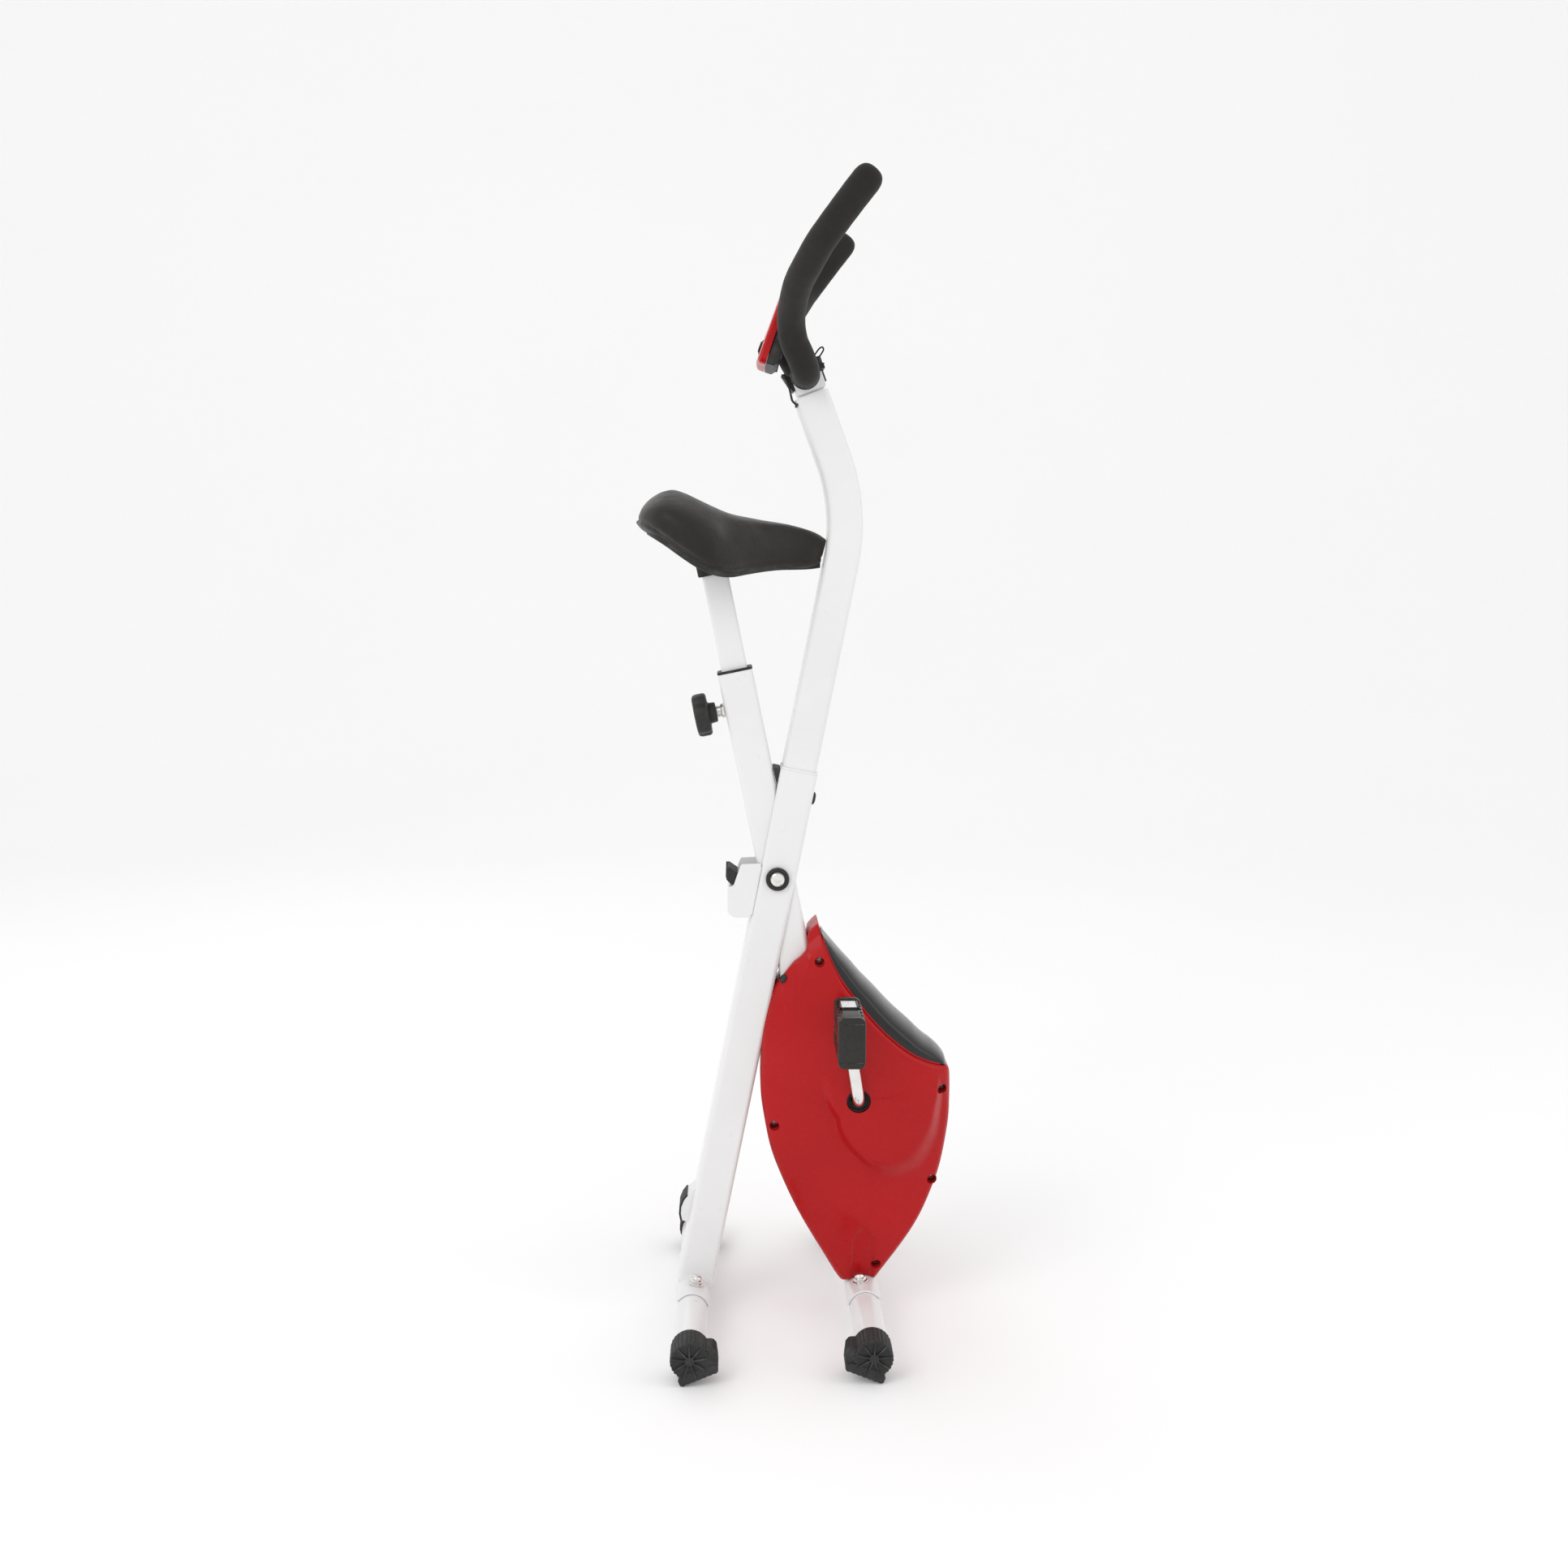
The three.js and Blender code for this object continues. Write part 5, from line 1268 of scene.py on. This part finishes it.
outer = shell_rows(0, 0, 14.5, 6.5)
inner = shell_rows(2.6, 2.6, 14.5, 4.0, 40)
pts_rows = [[floor_at(float(x[i]), -float(e[i]), float(z[i])) for i in range(len(th))] for x, e, z in outer]
xo, eo, zo = outer[-1]
for f in (0.66, 0.33):
    pts_rows.append([floor_at(float(xo[i]), -float(eo[i] * f), float(zo[i])) for i in range(len(th))])
pts_rows.append([floor_at(float(xo[i]), -0.6, float(zo[i])) for i in range(len(th))])
pts_rows.append([floor_at(float(CX + (xo[i] - CX) * (1 - 0.35 / R[i])), -0.25, float(CZ + (zo[i] - CZ) * (1 - 0.35 / R[i]))) for i in range(len(th))])
xi, ei, zi = inner[-1]
pts_rows.append([floor_at(float(xi[i]), -0.25, float(zi[i])) for i in range(len(th))])
pts_rows.append([floor_at(float(xi[i]), -float(ei[i] * 0.5), float(zi[i])) for i in range(len(th))])
for x, e, z in reversed(inner):
    pts_rows.append([floor_at(float(x[i]), -float(e[i]), float(z[i])) for i in range(len(th))])
bm = bmesh.new()
rings(bm, pts_rows + [pts_rows[0]], True, False, False)
near_shell = piece("housing_near_shell", bm, "seat_frame", "red_shell", ("housing_shell_near",), weighted=False, angle=36, weld=0.02)

WELLS = [(50.3, 454.5, 0.0), (200.6, 293.9, 0.0), (-4.4, 250.9, 0.0), (190.1, 176.6, 0.0), (121.3, 70.7, 0.0)]


def well_depth(x, z):
    return float(height(np.array([x]), np.array([z]))[0])


def outward(ob):
    """Turns a closed mesh right side out."""
    b = bmesh.new()
    b.from_mesh(ob.data)
    if b.calc_volume(signed=True) < 0:
        bmesh.ops.reverse_faces(b, faces=b.faces)
        b.to_mesh(ob.data)
    b.free()


outward(near_shell)
cut_bm = bmesh.new()
for x, z, _ in WELLS:
    e = well_depth(x, z)
    lathe(cut_bm, [(0, 0), (6.0, 0), (6.0, 60), (0, 60)], 40, aim(floor_at(x, -e + 16, z), (0, -1, 0)))
boolean(near_shell, cut_bm, "cut_wells")
cut_bm = bmesh.new()
rows = [[seat_at(x, y, k) for x, y in rrect(44, 41.5, 6, 5)] for k in (-545, 60)]
rings(cut_bm, rows)
boolean(near_shell, cut_bm, "cut_tube")
cut_bm = bmesh.new()
lathe(cut_bm, [(0, -90), (22.6, -90), (22.6, 10), (0, 10)], 72, aim(floor_at(105.4, 0, 31.5), (0, 1, 0)))
boolean(near_shell, cut_bm, "cut_axle")
near_shell.data.set_sharp_from_angle(angle=radians(36))

mirror = near_shell.data.copy()
co = np.array([v.co for v in mirror.vertices])
for v in mirror.vertices:
    v.co.y = -v.co.y
mirror.flip_normals()
far_shell = bpy.data.objects.new("housing_far_shell", mirror)
mirror.name = "housing_far_shell"
dress(far_shell, "seat_frame", "red_shell", ("housing_shell_far",), angle=36, weighted=False)
cut_bm = bmesh.new()
lathe(cut_bm, [(0, 20), (5.6, 20), (5.6, 80), (0, 80)], 32, aim(floor_at(34, 0, 418), (0, 1, 0)))
boolean(far_shell, cut_bm, "cut_far")
far_shell.data.set_sharp_from_angle(angle=radians(36))

# cups and screws in the five holes of each side
for nm, sg in (("near", -1), ("far", 1)):
    bm, sc = bmesh.new(), bmesh.new()
    for i, (x, z, _) in enumerate(WELLS):
        e = well_depth(x, z)
        dd = dist_to_line(np.array([x]), np.array([z]))[0]
        m = aim(floor_at(x, sg * (e - 1.2), z), (0, sg, 0))
        lathe(bm, [(0, -13), (5.4, -13), (5.5, -1.0), (5.95, 0.1), (6.2, -0.6), (6.6, -3), (6.6, -15), (0, -15)], 36, m)
        m = aim(floor_at(x, sg * (e - 14.0), z), (0, sg, 0), (cos(i + 0.4), 0, sin(i + 0.4)))
        lathe(sc, [(0, 0), (3.9, 0), (4.0, 0.6), (3.4, 1.9), (1.9, 2.5), (1.55, 2.2), (0.9, 0.8), (0, 0.7)], 32, m,
              lambda r, t, k: r * (1.0 if k < 4 else 0.55 + 0.65 * abs(cos(2 * t)) ** 4))
    piece(f"housing_wells_{nm}", bm, "seat_frame", "red_shell", weighted=False, angle=40)
    piece(f"housing_screws_{nm}", sc, "seat_frame", "steel", weighted=False, angle=30)

# bearing rings in the crank holes
bm = bmesh.new()
for sg in (-1, 1):
    m = aim(floor_at(CX, sg * 36, CZ), (0, sg, 0))
    lathe(bm, [(8.6, 0), (14.2, 0), (14.2, 17.4), (14.3, 19.6), (13.4, 20.0), (12.6, 19.6), (12.2, 15.0), (9.8, 14.0), (9.4, 14.6), (8.6, 14.2)], 64, m, loop=True)
piece("crank_seal_rings", bm, "seat_frame", "rubber_black", weighted=False, angle=30)

# cover over the hollow edge: as wide as the shells, domed across
cc = np.array(CONCAVE[1:])
top = np.array([(55.5, 484), (64.3, 474.5), (76.3, 460.6), (90.3, 445.2), (103.4, 429.7), (118.5, 414.2), (132.6, 398.7), (147.8, 383.1), (165.1, 367.5), (181.3, 351.8), (192.5, 343.5), (200.7, 335.6), (206.2, 328.0), (207.4, 321.5)], float)


def along(poly, u):
    P = [Vector((x, 0, z)) for x, z in poly]
    c = catmull(P, 12)
    L = [0.0]
    for a, b in zip(c, c[1:]):
        L.append(L[-1] + (b - a).length)
    L = np.array(L) / L[-1]
    return np.interp(u, L, [p.x for p in c]), np.interp(u, L, [p.z for p in c])


U = np.linspace(0, 1, 96)
ax, az = along([(53.2, 486)] + [tuple(p) for p in cc], U)
tx2, tz2 = along([tuple(p) for p in top], U)
bm = bmesh.new()
rows = []
for i in range(len(U)):
    a, b = np.array([ax[i] + 0.35, az[i] + 0.5]), np.array([tx2[i], tz2[i]])
    w = max(5.0, float(height(np.array([a[0]]), np.array([a[1]]))[0]) - 4.2)
    loop_pts = []
    for k in range(41):
        t = pi * k / 40
        y = -w * cos(t)
        lift_ = sin(t) ** 0.62
        p = a + (b - a) * lift_
        loop_pts.append(floor_at(float(p[0]), float(y), float(p[1])))
    for k in range(1, 8):
        y = w * (1 - 2 * k / 8)
        loop_pts.append(floor_at(float(a[0] - 0.05), float(y), float(a[1] - 0.05)))
    rows.append(loop_pts)
rings(bm, rows)
piece("housing_cover", bm, "seat_frame", "black_gloss", ("housing_top_cover",), weighted=False, angle=50)
# light lip of the shells beside the cover
for nm, sg in (("near", -1), ("far", 1)):
    P = []
    for i in range(2, len(U) - 2):
        w = max(5.0, float(height(np.array([ax[i]]), np.array([az[i]]))[0]) - 4.6)
        P.append(floor_at(float(ax[i]) + 0.5, sg * w, float(az[i]) + 0.7))
    bm = bmesh.new()
    rod(bm, P, 1.15, 10)
    piece(f"cover_lip_{nm}", bm, "seat_frame", "red_shell", weighted=False, angle=60)

# cable grommet where the lead of the brake leaves the shells
bm = bmesh.new()
lathe(bm, [(0, -6), (4.2, -6), (4.2, -1), (5.6, -0.6), (5.9, 0.6), (5.2, 2.0), (3.8, 3.2), (2.2, 3.6), (1.7, 2.6), (0, 2.2)], 36, aim(floor_at(7.2, -27, 431.5), (-0.83, -0.15, 0.55)))
piece("housing_grommet", bm, "seat_frame", "rubber_black", weighted=False, angle=50)

# ------------------------------------------------------------------ crank and pedals
CA = radians(8.9)
UP = Vector((-sin(CA), 0, cos(CA)))
NE = Vector((CX, 0, CZ)) + UP * 109.5
FE = Vector((CX, 0, CZ)) - UP * 109.5
route = fillet_path([floor_at(NE.x, -72, NE.z), floor_at(CX, -72, CZ), floor_at(CX, 72, CZ), floor_at(FE.x, 72, FE.z)], [18, 18], 14)
bm = bmesh.new()
thick = [1.0 + 0.22 * smoothstep(46, 56, abs(q.y)) for q in route]
sweep(bm, route, transport(route, (0, 1, 0.01)), circle(6.3, 32), True, True, thick)
for e, sg in ((NE, -1), (FE, 1)):
    m = aim(floor_at(e.x, sg * 66, e.z), (0, sg, 0))
    t = bmesh.new()
    lathe(t, [(0, 0), (8.2, 0), (9.0, 0.9), (9.0, 11.6), (8.4, 12.6), (7.6, 13.0), (7.6, 13.4), (0, 13.4)], 40, m)
    merge(bm, t)
    t = bmesh.new()
    lathe(t, [(0, 12), (6.9, 12), (6.9, 18.5), (4.8, 19.5), (4.8, 105), (0, 105)], 36, m, lambda r, t_, i: r / cos(((t_ + pi / 6) % (pi / 3)) - pi / 6) * 0.93 if i in (1, 2) else r)
    merge(bm, t)
piece("crank_arms", bm, "crankset", "chrome", ("crank",), weighted=False, angle=36, weld=0)

for nm, sg, e in (("near", -1, NE), ("far", 1, FE)):
    bm = bmesh.new()
    ya, yb = (-179.6, -88.4) if sg < 0 else (88.4, 179.6)

    def slab(w, h, r, y0, y1, bv, seg=3, dx=0, dz=0):
        t_ = bmesh.new()
        plate(t_, [(e.x + dx + x, e.z + dz + z) for x, z in rrect(w, h, r, 7)], y0, y1)
        bevel(t_, bv, seg, 60)
        merge(bm, t_)
    slab(31.4, 60, 7.5, ya, ya + 7, 1.6)
    slab(31.4, 60, 7.5, yb - 7, yb, 1.6)
    slab(25.6, 55.5, 4.5, ya + 4, yb - 4, 0.6, 2)
    slab(30.6, 20, 6, ya + 2, yb - 2, 1.2)
    # tread bars on the two faces a shoe rests on
    for sx in (-1, 1):
        for k, dz in enumerate((-24.2, -18.6, -13.4, 13.4, 18.6, 24.2)):
            t_ = bmesh.new()
            n_t = 15
            y_lo, y_hi = ya + 6.4, yb - 6.4
            ptsr = []
            x_in, x_out = sx * 12.2, sx * 15.2
            poly = [(x_in, dz - 1.7), (x_out, dz - 1.1), (x_out, dz + 1.1), (x_in, dz + 1.7)]
            plate(t_, [(e.x + x, e.z + z) for x, z in poly], y_lo, y_hi)
            bevel(t_, 0.5, 2, 50)
            merge(bm, t_)
        for k in range(6):
            t_ = bmesh.new()
            yy = ya + 12 + k * (yb - ya - 24) / 5
            plate(t_, [(e.x + x, e.z + z) for x, z in ((sx * 12, -27), (sx * 14.4, -26.2), (sx * 14.4, 26.2), (sx * 12, 27))], yy - 1.3, yy + 1.3)
            bevel(t_, 0.4, 2, 50)
            merge(bm, t_)
    # frames for the reflectors at the two narrow faces
    yc = (ya + 7 + 22.5) if sg > 0 else (yb - 7 - 22.5)
    for sz in (-1, 1):
        for (x0_, x1_, y0_, y1_) in ((-11, -8.8, -17, 17), (8.8, 11, -17, 17), (-11, 11, -17, -15), (-11, 11, 15, 17)):
            t_ = bmesh.new()
            block(t_, e.x + x0_, e.x + x1_, yc + y0_, yc + y1_, e.z + min(sz * 26.5, sz * 30), e.z + max(sz * 26.5, sz * 30))
            bevel(t_, 0.5, 2, 50)
            merge(bm, t_)
    # seam and end plug
    m = aim(floor_at(e.x, sg * 179.2, e.z), (0, sg, 0))
    t_ = bmesh.new()
    lathe(t_, [(0, -4), (8.6, -4), (8.6, 0.5), (8.0, 1.2), (5.6, 1.5), (0, 1.5)], 44, m)
    merge(bm, t_)
    for sz in (-1, 1):
        t_ = bmesh.new()
        block(t_, e.x - 13.6, e.x + 13.6, min(sg * 178, sg * 180.1), max(sg * 178, sg * 180.1), e.z + sz * 22.4 - 0.5, e.z + sz * 22.4 + 0.5)
        bevel(t_, 0.3, 1, 50)
        merge(bm, t_)
    piece(f"pedal_{nm}_moulding", bm, f"pedal_{nm}_body", "pedal_resin", (f"pedal_{nm}",), weighted=False, angle=30, weld=0)
    bm = bmesh.new()
    for sz in (-1, 1):
        t_ = bmesh.new()
        # prism facets across the reflector's face
        nx, ny = 6, 11
        grid = {}
        for i in range(nx * 2 + 1):
            for j in range(ny * 2 + 1):
                hgt = 29.3 if (i % 2 and j % 2) else 28.9
                grid[i, j] = t_.verts.new(floor_at(e.x - 8.7 + 17.4 * i / (nx * 2), yc - 15 + 30 * j / (ny * 2), e.z + sz * hgt))
        for i in range(nx * 2):
            for j in range(ny * 2):
                t_.faces.new((grid[i, j], grid[i + 1, j], grid[i + 1, j + 1], grid[i, j + 1]))
        edge = [ed for ed in t_.edges if len(ed.link_faces) == 1]
        ext = bmesh.ops.extrude_edge_only(t_, edges=edge)
        nv = [v for v in ext["geom"] if isinstance(v, bmesh.types.BMVert)]
        for v in nv:
            v.co.z = e.z + sz * 26.8
        ne = [ed for ed in ext["geom"] if isinstance(ed, bmesh.types.BMEdge)]
        bmesh.ops.contextual_create(t_, geom=[ed for ed in t_.edges if len(ed.link_faces) == 1])
        merge(bm, t_)
    piece(f"pedal_{nm}_reflectors", bm, f"pedal_{nm}_body", "pedal_resin", weighted=False, angle=10, weld=0, mat="reflector")

# ------------------------------------------------------------------ tension knob
m = aim(floor_at(34, 36, 418), (0, 1, 0), (-0.3, 0, 1))
bm = bmesh.new()
ridge = lambda r, t_, i: r * (1 + 0.022 * max(-1, min(1, 2.2 * cos(18 * t_)))) if 5 <= i <= 8 else r
lathe(bm, [(0, 0), (4.6, 0), (5.0, 0.5), (5.0, 25.2), (13.2, 25.2), (14.4, 26.0), (14.6, 27.0), (14.5, 38.5), (13.7, 40.6), (12.4, 41.5), (11.6, 41.1), (6, 41.4), (0, 41.6)], 144, m, ridge)
t = bmesh.new()
block(t, -1.1, 1.1, 3.4, 11.4, 40.8, 42.3, m)
bevel(t, 0.4, 2, 50)
merge(bm, t)
piece("tension_knob_head", bm, "resistance_knob", "black_plastic", ("tension_knob",), weighted=False, angle=30, weld=0)


# ------------------------------------------------------------------ camera, light, floor
cam = bpy.data.cameras.new("camera")
cam.sensor_width, cam.lens = 36, 39.0
cam.clip_start, cam.clip_end = 0.05, 60
co = bpy.data.objects.new("camera", cam)
co.location = (-0.07378, -2.030, 0.95707)
co.rotation_euler = (radians(90 - 8.157), 0, radians(-1.734))
scene.collection.objects.link(co)
scene.camera = co

world = bpy.data.worlds.new("studio")
world.use_nodes = True
world.node_tree.nodes["Background"].inputs["Color"].default_value = (1.0, 1.0, 1.0, 1)
world.node_tree.nodes["Background"].inputs["Strength"].default_value = 0.90
scene.world = world


def area(name, loc, at, size, power, col=(1, 1, 1)):
    l = bpy.data.lights.new(name, "AREA")
    l.shape, l.size, l.size_y, l.energy, l.color = "RECTANGLE", size[0], size[1], power, col
    o = bpy.data.objects.new(name, l)
    o.location = loc
    o.rotation_euler = (Vector(at) - Vector(loc)).to_track_quat("-Z", "Y").to_euler()
    scene.collection.objects.link(o)
    return o


area("key", (-1.9, -2.2, 2.5), (0, 0, 0.6), (1.6, 1.6), 22)
area("side", (2.4, -0.8, 1.7), (0, 0, 0.6), (0.9, 2.0), 6)
area("rim", (-1.2, 2.2, 2.2), (0, 0, 0.7), (1.4, 1.4), 5)

# a pale floor that sweeps up behind the object
bm = bmesh.new()
prof = [(-9, 0), (3.0, 0)] + [(3.0 + 2.0 * sin(radians(a)), 2.0 - 2.0 * cos(radians(a))) for a in range(6, 91, 6)] + [(5.0, 9.0)]
rings(bm, [[Vector((x, y, z)) for x in (-12, -6, 0, 6, 12)] for y, z in prof], False)
me = bpy.data.meshes.new("floor")
bm.to_mesh(me)
bm.free()
floor = bpy.data.objects.new("floor", me)
for p in me.polygons:
    p.use_smooth = True
me.materials.append(finish_mat("floor_paper", (0.93, 0.93, 0.93), 0.995, 1.003, 1.5, 0.9, 1.0, size=300, depth=0.00004, strength=0.2, spec=0.1))
floor_b = me.materials[0].node_tree.nodes["Principled BSDF"]
floor_b.inputs["Emission Color"].default_value = (1, 1, 1, 1)
floor_b.inputs["Emission Strength"].default_value = 0.055
scene.collection.objects.link(floor)

scene.view_settings.view_transform = "Standard"
scene.view_settings.look = "None"
scene.view_settings.exposure = 0
scene.view_settings.gamma = 1

# CAD nodes that stay as they are: finishes by their slots
SLOTS = {"pivot_bush": "black_plastic", "flywheel_bush": "steel", "seat_pin": "steel", "bottom_bracket": "steel",
         "drive_pulley": "black_plastic", "flywheel": "iron", "flywheel_axle": "steel", "drive_belt": "rubber_black",
         "magnet_bracket": "steel"}
by_node = {n: s.get("slot") for s in (frame["record"].get("materials") or []) for n in (s.get("nodes") or [])}
for n, ob in frame["nodes"].items():
    if ob.hide_render:
        continue
    m = MAT.get(SLOTS.get(n) or by_node.get(n) or "black_plastic")
    ob.data.materials.clear()
    ob.data.materials.append(m)
    for p in ob.data.polygons:
        p.material_index = 0
        p.use_smooth = True
    ob.data.set_sharp_from_angle(angle=radians(30))

bpy.context.view_layer.update()
